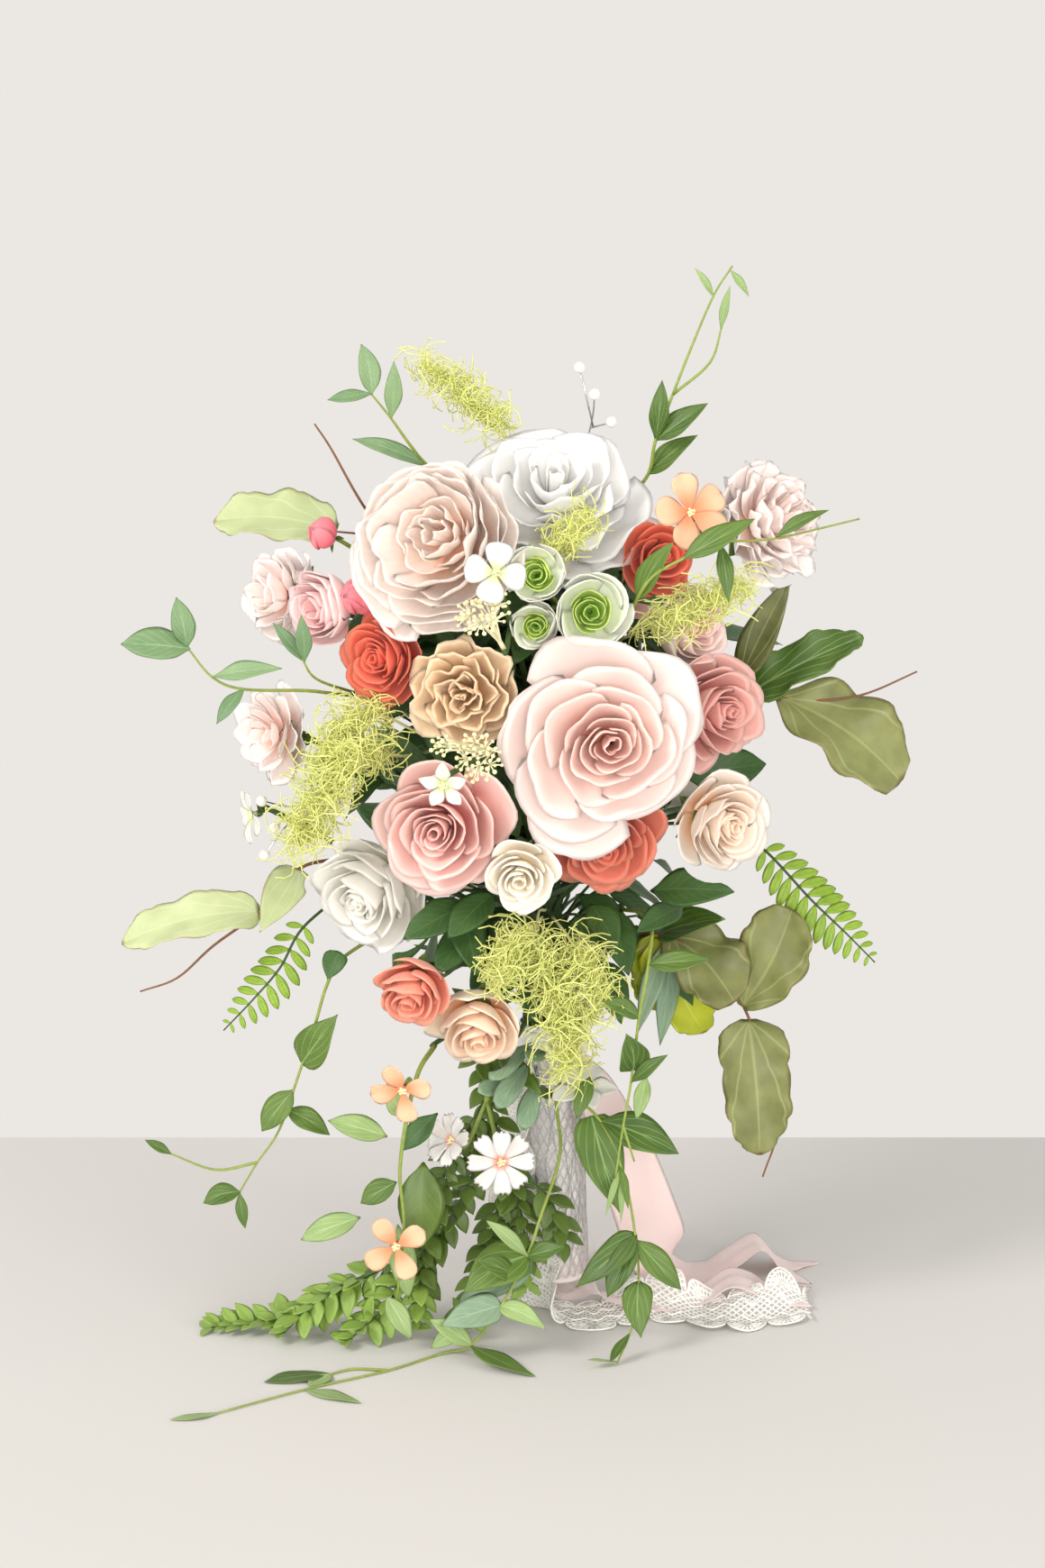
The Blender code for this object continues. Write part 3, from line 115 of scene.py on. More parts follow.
def linear(colour):
    # from the colour as seen to the colour that the shader takes
    return tuple(c / 12.92 if c <= 0.04045 else ((c + 0.055) / 1.055) ** 2.4 for c in colour) + (1.0,)


# mesh helpers: parts are gathered in a cloud and become one mesh

def newCloud():
    return {"points": [], "uv": [], "tone": [], "faces": [], "size": 0}


def addPart(cloud, points, faces, uv=None, tone=0.0):
    points = np.asarray(points, float).reshape(-1, 3)
    count = len(points)
    cloud["points"].append(points)
    cloud["uv"].append(np.zeros((count, 2)) if uv is None else np.asarray(uv, float).reshape(-1, 2))
    cloud["tone"].append(np.broadcast_to(np.asarray(tone, float), (count,)))
    for block in faces:
        if len(block):
            cloud["faces"].append(np.asarray(block, int) + cloud["size"])
    cloud["size"] += count


def makePiece(name, cloud, *finishes):
    points = np.vstack(cloud["points"]) * mm
    loops = np.concatenate([block.ravel() for block in cloud["faces"]])
    sizes = np.concatenate([np.full(len(block), block.shape[1]) for block in cloud["faces"]])
    mesh = bpy.data.meshes.new(name)
    mesh.vertices.add(len(points))
    mesh.vertices.foreach_set("co", points.ravel())
    mesh.loops.add(len(loops))
    mesh.loops.foreach_set("vertex_index", loops)
    mesh.polygons.add(len(sizes))
    mesh.polygons.foreach_set("loop_start", np.concatenate(([0], np.cumsum(sizes)[:-1])))
    mesh.update(calc_edges=True)
    flat = mesh.uv_layers.new(name="flat")
    flat.uv.foreach_set("vector", np.vstack(cloud["uv"])[loops].ravel())
    tone = mesh.attributes.new("tone", "FLOAT", "POINT")
    tone.data.foreach_set("value", np.concatenate(cloud["tone"]))
    mesh.polygons.foreach_set("use_smooth", np.ones(len(sizes), bool))
    for finish in finishes:
        mesh.materials.append(finish)
    piece = bpy.data.objects.new(name, mesh)
    scene.collection.objects.link(piece)
    return piece


def thinSheet(cloud, grid, thick, uv, tone=0.0):
    # a thin closed solid round a grid of points: its faces meet in a line at every edge
    rows, cols = grid.shape[:2]
    normal = np.cross(np.gradient(grid, axis=1), np.gradient(grid, axis=0))
    normal /= np.maximum(np.linalg.norm(normal, axis=2, keepdims=True), 1e-9)
    inside = np.zeros((rows, cols, 1))
    inside[1:-1, 1:-1] = 1.0
    half = normal * inside * thick / 2
    points = np.vstack(((grid + half).reshape(-1, 3), (grid - half)[1:-1, 1:-1].reshape(-1, 3)))
    over = np.arange(rows * cols).reshape(rows, cols)
    under = over.copy()
    under[1:-1, 1:-1] = rows * cols + np.arange((rows - 2) * (cols - 2)).reshape(rows - 2, cols - 2)
    top = np.stack((over[:-1, :-1], over[:-1, 1:], over[1:, 1:], over[1:, :-1]), -1).reshape(-1, 4)
    low = np.stack((under[:-1, :-1], under[1:, :-1], under[1:, 1:], under[:-1, 1:]), -1).reshape(-1, 4)
    flat = np.vstack((uv.reshape(-1, 2), uv[1:-1, 1:-1].reshape(-1, 2)))
    addPart(cloud, points, [top, low], flat, tone)


def addTube(cloud, line, radii, sides=8, tone=0.0):
    line = np.asarray(line, float)
    radii = np.broadcast_to(radii, len(line))
    ahead = np.gradient(line, axis=0)
    rings, side = [], None
    turn = np.arange(sides) * 2 * math.pi / sides
    for point, along, radius in zip(line, ahead, radii):
        along = unit(along)
        side = axesAbout(along)[0] if side is None else unit(side - along * (side @ along))
        other = np.cross(along, side)
        rings.append(point + radius * (np.outer(np.cos(turn), side) + np.outer(np.sin(turn), other)))
    count = len(rings)
    points = np.vstack(rings + [line[:1], line[-1:]])
    low = np.arange(count - 1)[:, None] * sides
    j = np.arange(sides)[None, :]
    k = (j + 1) % sides
    walls = np.stack((low + j, low + k, low + sides + k, low + sides + j), -1).reshape(-1, 4)
    j, k = j[0], k[0]
    first = np.stack((np.full(sides, count * sides), k, j), -1)
    last = np.stack((np.full(sides, count * sides + 1), (count - 1) * sides + j, (count - 1) * sides + k), -1)
    share = lengthsAlong(line) / max(lengthsAlong(line)[-1], 1e-9)
    uv = np.vstack([np.stack((np.arange(sides) / sides, np.full(sides, s)), 1) for s in share]
                   + [[(0.5, 0.0), (0.5, 1.0)]])
    addPart(cloud, points, [walls, first, last], uv, tone)


def ridesAs(piece, slotName, *nodes):
    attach(piece, "root")
    if nodes:
        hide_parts(*nodes)
    return piece


# node helpers: a value in a tree is a wire, and sums written with wires become math nodes

class Wire:
    def __init__(self, socket):
        self.socket = socket

    def __add__(self, other):
        return calc("ADD", self, other)

    def __sub__(self, other):
        return calc("SUBTRACT", self, other)

    def __rsub__(self, other):
        return calc("SUBTRACT", other, self)

    def __mul__(self, other):
        return calc("MULTIPLY", self, other)

    def __truediv__(self, other):
        return calc("DIVIDE", self, other)

    def __abs__(self):
        return calc("ABSOLUTE", self)

    __radd__, __rmul__ = __add__, __mul__


def plugIn(socket, value):
    if isinstance(value, Wire):
        value = value.socket
    if isinstance(value, bpy.types.NodeSocket):
        socket.id_data.links.new(value, socket)
    elif value is not None:
        socket.default_value = value


def addNode(tree, kind, inputs=None, **settings):
    node = tree.nodes.new(kind)
    for key, value in settings.items():
        setattr(node, key, value)
    for key, value in (inputs or {}).items():
        plugIn(node.inputs[key], value)
    return node


def nodeFor(values, kind, output=0, **settings):
    # a node in the tree that the values' wires belong to; values go to its inputs by place or by name
    tree = next(value.socket.id_data for value in values.values() if isinstance(value, Wire))
    return Wire(addNode(tree, kind, values, **settings).outputs[output])


def calc(operation, *values, clamp=False):
    return nodeFor(dict(enumerate(values)), "ShaderNodeMath", operation=operation, use_clamp=clamp)


def blendColour(factor, a, b):
    return nodeFor({0: factor, 6: a, 7: b}, "ShaderNodeMix", 2, data_type="RGBA")


def blendValue(factor, a, b):
    return a * (1 - factor) + b * factor


def scaledColour(colour, amount):
    return nodeFor({0: colour, "Scale": amount}, "ShaderNodeVectorMath", operation="SCALE")


def stepBetween(value, low, high, toLow=0.0, toHigh=1.0):
    inputs = dict(enumerate((value, low, high, toLow, toHigh)))
    return nodeFor(inputs, "ShaderNodeMapRange", interpolation_type="SMOOTHSTEP")


def bandBelow(value, edge, soft):
    # 1 up to the edge and 0 past it
    return stepBetween(value, edge, edge + soft, 1.0, 0.0)


def sawOf(value):
    # how far the value is from the middle between two whole numbers
    return abs(calc("FRACT", value) - 0.5)


def noiseAt(place, scale, detail=2.0, roughness=0.5):
    inputs = {"Vector": place, "Scale": scale, "Detail": detail, "Roughness": roughness}
    return nodeFor(inputs, "ShaderNodeTexNoise")


def newGroup(name, inputs, outputs, treeKind="ShaderNodeTree"):
    # inputs are (label, kind, value) and outputs (label, kind)
    tree = bpy.data.node_groups.new(name, treeKind)
    for label, kind, value in inputs:
        socket = tree.interface.new_socket(name=label, in_out="INPUT", socket_type="NodeSocket" + kind)
        if value is not None:
            socket.default_value = value
    for label, kind in outputs:
        tree.interface.new_socket(name=label, in_out="OUTPUT", socket_type="NodeSocket" + kind)
    given = {socket.name: Wire(socket) for socket in tree.nodes.new("NodeGroupInput").outputs}
    return tree, given, tree.nodes.new("NodeGroupOutput").inputs


def petalTintGroup():
    # colour from the heart of the flower to the rim of each petal, with soft mottling and fine veins; the
    # heart colour carries painted shade too
    tree, given, out = newGroup("petalTint", [
        ("Along", "Float", 0.5), ("Across", "Float", 0.5), ("Depth", "Float", 0.0), ("Heart", "Color", None),
        ("Rim", "Color", None), ("Spread", "Float", 0.6), ("Mottle", "Float", 0.05), ("Veins", "Float", 0.1),
        ("Grain", "Float", 900.0), ("Place", "Vector", None)], [("Colour", "Color"), ("Height", "Float")])
    # towards the petal bases and, through Depth tint and shade, on the inner layers the petals take the
    # deeper heart colour: partly the flower's own colour, partly painted shade and glow of light bounced
    # between the petals
    rim = stepBetween(given["Along"], 0.12, given["Spread"]) * (1 - given["Depth"] * 0.55)
    shade = 1 + (noiseAt(given["Place"], 60.0) - 0.5) * given["Mottle"]
    wobble = noiseAt(given["Place"], 120.0) * 2.2
    veins = calc("SINE", given["Across"] * 62.0 + wobble) * given["Veins"]
    colour = blendColour(rim, given["Heart"], given["Rim"])
    plugIn(out["Colour"], scaledColour(colour, shade + veins * 0.03))
    plugIn(out["Height"], noiseAt(given["Place"], given["Grain"], 3.0, 0.6) * 0.6 + veins)
    return tree


def leafBladeGroup():
    # a leaf's colour and relief: midrib, side veins or veins that fan out, mottling and a redder edge
    tree, given, out = newGroup("leafBlade", [
        ("Along", "Float", 0.5), ("Across", "Float", 0.5), ("Tone", "Float", 0.0), ("Blade", "Color", None),
        ("Bright", "Color", None), ("Vein", "Color", None), ("Edge", "Color", None),
        ("Vein count", "Float", 7.0),
        ("Slant", "Float", 0.3), ("Vein width", "Float", 0.1), ("Vein strength", "Float", 0.6),
        ("Edge strength", "Float", 0.0), ("Palmate", "Float", 0.0), ("Place", "Vector", None)],
        [("Colour", "Color"), ("Height", "Float"), ("Roughness", "Float")])
    along, across = given["Along"], given["Across"]
    off = abs(across * 2.0 - 1.0)  # 0 on the midrib, 1 at the edge
    rib = stepBetween(off, 0.0, along * -0.06 + 0.10, 1.0, 0.0)
    saw = sawOf((along - off * given["Slant"]) * given["Vein count"])
    side = stepBetween(saw, 0.0, given["Vein width"], 1.0, 0.0) * stepBetween(off, 0.75, 1.0, 0.7, 0.1)
    sideways = across * 0.9 - 0.45
    far = calc("SQRT", sideways * sideways + along * along)
    rays = sawOf(calc("ARCTAN2", sideways, along + 0.03) * 2.1 + 0.5) * far
    side = blendValue(given["Palmate"], side, stepBetween(rays, 0.0, 0.045, 1.0, 0.0))
    veins = calc("MAXIMUM", rib, side)
    cloudy = noiseAt(given["Place"], 70.0, 3.0)
    light = calc("ADD", cloudy * 0.8, given["Tone"] - 0.4, clamp=True)
    colour = blendColour(light, given["Blade"], given["Bright"])
    colour = blendColour(veins * given["Vein strength"], colour, given["Vein"])
    edge = calc("MAXIMUM", stepBetween(off, 0.86, 1.0), stepBetween(along, 0.93, 1.0))
    edge = calc("MULTIPLY", edge, given["Edge strength"] * (cloudy + 0.4), clamp=True)
    plugIn(out["Colour"], blendColour(edge, colour, given["Edge"]))
    plugIn(out["Height"], veins * -0.5 + noiseAt(given["Place"], 1400.0) * 0.12)
    plugIn(out["Roughness"], cloudy * 0.2 + 0.36)
    return tree


def weaveGroup():
    # crossing threads on a cloth, from its own flat coordinates in millimetres
    tree, given, out = newGroup("weave", [
        ("Along", "Float", 0.0), ("Across", "Float", 0.0), ("Thread", "Float", 0.6)],
        [("Shade", "Float"), ("Height", "Float")])
    warp, weft = [abs(calc("SINE", given[way] * math.pi / given["Thread"])) for way in ("Across", "Along")]
    height = (warp + weft) * 0.5
    plugIn(out["Height"], height)
    plugIn(out["Shade"], height * 0.12 + 0.90)
    return tree


petalTint, leafBlade, weave = petalTintGroup(), leafBladeGroup(), weaveGroup()


def startFinish(name, roughness=0.6, **fixed):
    # a material, its shader and what patterns read: across, along, tone and the place on the piece
    made = bpy.data.materials.new(name)
    made.use_nodes = True
    tree = made.node_tree
    shader = tree.nodes["Principled BSDF"]
    for label, value in {"Roughness": roughness, **fixed}.items():
        shader.inputs[label].default_value = value
    flat = addNode(tree, "ShaderNodeUVMap", uv_map="flat")
    parts = addNode(tree, "ShaderNodeSeparateXYZ", {0: flat.outputs[0]})
    tone = addNode(tree, "ShaderNodeAttribute", attribute_name="tone")
    place = addNode(tree, "ShaderNodeTexCoord").outputs["Object"]
    reads = (parts.outputs[0], parts.outputs[1], tone.outputs["Fac"], place)
    return (made, shader, *map(Wire, reads))


def addBump(shader, height, strength, distance):
    inputs = {"Strength": strength, "Distance": distance, "Height": height}
    plugIn(shader.inputs["Normal"], addNode(shader.id_data, "ShaderNodeBump", inputs).outputs[0])


def petalFinish(name, look):
    made, shader, across, along, tone, place = startFinish(name, 0.75, **{
        "Sheen Weight": 0.15, "Sheen Roughness": 0.5, "Specular IOR Level": 0.2, "Subsurface Weight": 0.2,
        "Subsurface Scale": 0.003, "Subsurface Radius": (1.0, 0.8, 0.7)})
    tint = addNode(made.node_tree, "ShaderNodeGroup", {
        "Along": along, "Across": across, "Depth": tone, "Heart": linear(look["heart"]),
        "Rim": linear(look["rim"]),
        "Spread": look.get("spread", 0.8), "Veins": look.get("veins", 0.05), "Mottle": 0.06, "Place": place},
        node_tree=petalTint)
    plugIn(shader.inputs["Base Color"], tint.outputs["Colour"])
    addBump(shader, tint.outputs["Height"], 0.35, 0.0002)
    return made


def leafFinish(name, look):
    made, shader, across, along, tone, place = startFinish(name, 0.45, **{
        "Specular IOR Level": look.get("gloss", 0.4), "Subsurface Weight": 0.12, "Subsurface Scale": 0.002,
        "Subsurface Radius": (0.5, 1.0, 0.2)})
    blade = addNode(made.node_tree, "ShaderNodeGroup", {
        "Along": along, "Across": across, "Tone": tone, "Blade": linear(look["blade"]),
        "Bright": linear(look["bright"]), "Vein": linear(look["vein"]),
        "Edge": linear(look.get("edge", look["bright"])), "Vein count": look.get("count", 7.0),
        "Slant": look.get("slant", 0.3), "Vein width": 0.1, "Vein strength": look.get("strength", 0.5),
        "Edge strength": look.get("edging", 0.0), "Palmate": look.get("palmate", 0.0), "Place": place},
        node_tree=leafBlade)
    plugIn(shader.inputs["Base Color"], blade.outputs["Colour"])
    plugIn(shader.inputs["Roughness"], blade.outputs["Roughness"])
    addBump(shader, blade.outputs["Height"], 0.5, 0.0003)
    return made


def barkFinish(name, dark, light, roughness=0.6):
    # stems, twigs, moss and beads: two colours mixed by noise and by each part's tone
    made, shader, _, _, tone, place = startFinish(name, roughness)
    cloudy = noiseAt(place, 300.0, 3.0)
    mix = calc("ADD", cloudy * 0.7, tone * 0.6 - 0.2, clamp=True)
    plugIn(shader.inputs["Base Color"], blendColour(mix, linear(dark), linear(light)))
    addBump(shader, cloudy, 0.4, 0.0002)
    return made


# heart colours are partly each flower's own deeper colour and partly painted shade deep in the flower
petalLooks = {
    "blush": {"heart": (0.98, 0.67, 0.58), "rim": (0.955, 0.885, 0.86), "spread": 0.62},
    "blushPale": {"heart": (1.0, 0.83, 0.77), "rim": (1.0, 0.965, 0.95), "veins": 0.5, "spread": 0.6},
    "white": {"heart": (0.955, 0.95, 0.935), "rim": (0.955, 0.95, 0.94)},
    "peachCream": {"heart": (1.0, 0.80, 0.67), "rim": (0.975, 0.93, 0.90), "veins": 0.5, "spread": 0.7},
    "coral": {"heart": (0.91, 0.34, 0.24), "rim": (0.91, 0.48, 0.38), "spread": 0.7},
    "champagne": {"heart": (0.90, 0.70, 0.46), "rim": (0.94, 0.84, 0.71), "spread": 0.7},
    "dusty": {"heart": (0.96, 0.62, 0.58), "rim": (0.99, 0.86, 0.83), "spread": 0.8},
    "creamPeach": {"heart": (1.0, 0.78, 0.58), "rim": (1.0, 0.955, 0.91), "spread": 0.65},
    "ivory": {"heart": (0.965, 0.95, 0.89), "rim": (0.99, 0.98, 0.955)},
    "cream": {"heart": (1.0, 0.91, 0.76), "rim": (1.0, 0.975, 0.93), "spread": 0.65},
    "terracotta": {"heart": (0.84, 0.38, 0.29), "rim": (0.91, 0.55, 0.46), "spread": 0.75},
    "salmon": {"heart": (0.93, 0.48, 0.39), "rim": (0.96, 0.66, 0.57), "spread": 0.75},
    # a darker copy of the dusty finish for the rose on the right, which sits in shade: painted shade
    "dustyPaintedShade": {"heart": (0.84, 0.44, 0.41), "rim": (0.93, 0.74, 0.70), "spread": 0.8},
    "apricotCream": {"heart": (1.0, 0.71, 0.51), "rim": (0.99, 0.91, 0.83), "spread": 0.7},
    "pink": {"heart": (0.93, 0.42, 0.48), "rim": (0.98, 0.66, 0.68)},
    "rosePink": {"heart": (0.95, 0.60, 0.60), "rim": (0.99, 0.88, 0.87), "veins": 0.3, "spread": 0.7},
    "limeWhite": {"heart": (0.90, 0.93, 0.74), "rim": (0.95, 0.955, 0.91), "spread": 0.4},
    "limeHeart": {"heart": (0.50, 0.69, 0.10), "rim": (0.86, 0.93, 0.52), "spread": 0.8},
    "floretWhite": {"heart": (0.80, 0.84, 0.60), "rim": (0.88, 0.88, 0.855), "veins": 0.6, "spread": 0.5},
    "cosmosWhite": {"heart": (0.92, 0.62, 0.54), "rim": (0.88, 0.875, 0.86), "veins": 0.8, "spread": 0.34},
    "apricot": {"heart": (0.94, 0.56, 0.40), "rim": (0.96, 0.75, 0.61), "veins": 0.7, "spread": 0.75},
}
leafLooks = {
    "sage": {"blade": (0.36, 0.48, 0.33), "bright": (0.56, 0.66, 0.47), "vein": (0.66, 0.77, 0.60),
        "count": 6.0, "slant": 0.45},
    "fresh": {"blade": (0.21, 0.32, 0.10), "bright": (0.40, 0.50, 0.20), "vein": (0.62, 0.74, 0.50),
        "count": 3.0, "slant": 0.9, "edge": (0.62, 0.74, 0.40), "edging": 0.35},
    "glossy": {"blade": (0.22, 0.31, 0.09), "bright": (0.42, 0.52, 0.19), "vein": (0.40, 0.50, 0.24),
        "count": 6.0, "gloss": 0.6},
    "glossyBright": {"blade": (0.40, 0.52, 0.18), "bright": (0.62, 0.74, 0.34), "vein": (0.60, 0.72, 0.34),
        "count": 6.0, "gloss": 0.6},
    "olive": {"blade": (0.27, 0.29, 0.15), "bright": (0.61, 0.62, 0.38), "vein": (0.68, 0.71, 0.48),
        "palmate": 1.0, "edge": (0.70, 0.52, 0.38), "edging": 0.2, "strength": 0.4},
    "limeSheer": {"blade": (0.52, 0.56, 0.06), "bright": (0.76, 0.78, 0.20), "vein": (0.82, 0.84, 0.42),
        "palmate": 1.0},
    "paleGreen": {"blade": (0.66, 0.71, 0.50), "bright": (0.82, 0.84, 0.68), "vein": (0.83, 0.86, 0.72),
        "palmate": 1.0, "strength": 0.3, "edge": (0.80, 0.68, 0.50), "edging": 0.35},
    "young": {"blade": (0.44, 0.55, 0.32), "bright": (0.64, 0.73, 0.48), "vein": (0.82, 0.88, 0.66),
        "count": 3.0, "slant": 0.9},
    "dusk": {"blade": (0.38, 0.49, 0.39), "bright": (0.58, 0.67, 0.55), "vein": (0.68, 0.76, 0.65),
        "count": 5.0, "slant": 0.5},
    "fern": {"blade": (0.40, 0.55, 0.12), "bright": (0.64, 0.76, 0.26), "vein": (0.30, 0.44, 0.10),
        "count": 2.0},
    "roseLeaf": {"blade": (0.16, 0.27, 0.13), "bright": (0.30, 0.44, 0.22), "vein": (0.38, 0.50, 0.30),
        "count": 8.0},
}
petalFinishes = {name: petalFinish(name, look) for name, look in petalLooks.items()}
leafFinishes = {name: leafFinish(name, look) for name, look in leafLooks.items()}
stemGreen = barkFinish("stemGreen", (0.38, 0.48, 0.17), (0.66, 0.71, 0.34))
stemDark = barkFinish("stemDark", (0.16, 0.26, 0.10), (0.30, 0.42, 0.18))
twigBrown = barkFinish("twigBrown", (0.36, 0.22, 0.15), (0.60, 0.42, 0.30), 0.7)
mossGreen = barkFinish("mossGreen", (0.88, 0.90, 0.50), (1.0, 0.99, 0.80), 0.7)
berryCream = barkFinish("berryCream", (0.92, 0.90, 0.68), (0.98, 0.97, 0.86), 0.5)
print("finishes made:", len(bpy.data.materials))


# where the flowers are: kind, face, facing (azimuth, elevation), diameter, finish
blooms = {
    "rose_blush_large": ("openRose", (27, -148, 338), (4, 3), 110, "blush"),
    "rose_white_large": ("looseRose", (-2, -62, 472), (0, 46), 104, "white"),
    "peony_peach": ("peony", (-71, -113, 441), (-22, 18), 94, "peachCream"),
    "rose_coral_left": ("rose", (-97, -91, 374), (-30, 4), 51, "coral"),
    "rose_champagne": ("wavyRose", (-49, -116, 360), (-8, 4), 61, "champagne"),
    "rose_dusty_large": ("rose", (-63, -122, 286), (-12, -4), 76, "dusty"),
    # this rose takes the darker copy of the dusty finish: painted shade
    "rose_dusty_right": ("rose", (95, -84, 344), (40, 0), 64, "dustyPaintedShade"),
    "rose_peach_right": ("rose", (99, -84, 281), (34, -8), 58, "creamPeach"),
    "rose_ivory_left": ("rose", (-108, -74, 236), (-32, -20), 70, "ivory"),
    "rose_cream_small": ("smallRose", (-17, -138, 265), (-2, -12), 40, "cream"),
    "rose_terracotta": ("rose", (27, -96, 268), (6, -26), 70, "terracotta"),
    "rose_coral_small": ("smallRose", (-78, -110, 192), (-15, -28), 42, "salmon"),
    "rose_peach_low": ("smallRose", (-42, -99, 167), (-4, -34), 50, "apricotCream"),
    "carnation_pink": ("carnation", (132, -22, 446), (50, 20), 70, "blushPale"),
    "ranunculus_pale_left": ("ruffled", (-159, -31, 403), (-50, 10), 54, "blushPale"),
    "ranunculus_rose_left": ("ranunculus", (-131, -66, 398), (-48, 0), 38, "rosePink"),
    "gardenia_left": ("gardenia", (-164, -55, 326), (-46, 2), 62, "blushPale"),
    "rose_coral_right": ("smallRose", (59, -74, 427), (18, 14), 41, "coral"),
    "rose_blush_right": ("ranunculus", (79, -72, 390), (38, 6), 40, "blush"),
    "ranunculus_green_a": ("greenRanunculus", (19, -122, 405), (4, 6), 38, "limeWhite"),
    "ranunculus_green_b": ("greenRanunculus", (-10, -110, 424), (-4, 14), 30, "limeWhite"),
    "ranunculus_green_c": ("greenRanunculus", (-11, -108, 395), (-8, 0), 24, "limeWhite"),
    "bud_pink_top": ("bud", (-128, -60, 440), (-40, 20), 18, "pink"),
    "bud_pink_side": ("bud", (-109, -82, 407), (-36, 4), 22, "pink"),
    "rose_ivory_back": ("rose", (-66, 88, 420), (-146, 26), 86, "ivory"),
    "rose_dusty_back": ("rose", (48, 92, 416), (150, 28), 88, "dusty"),
    "rose_blush_back": ("rose", (-14, 130, 332), (180, 0), 106, "blush"),
    "rose_champagne_back": ("rose", (-64, 92, 248), (-148, -20), 78, "champagne"),
    "rose_peach_back": ("rose", (78, 86, 292), (138, -8), 74, "creamPeach"),
}
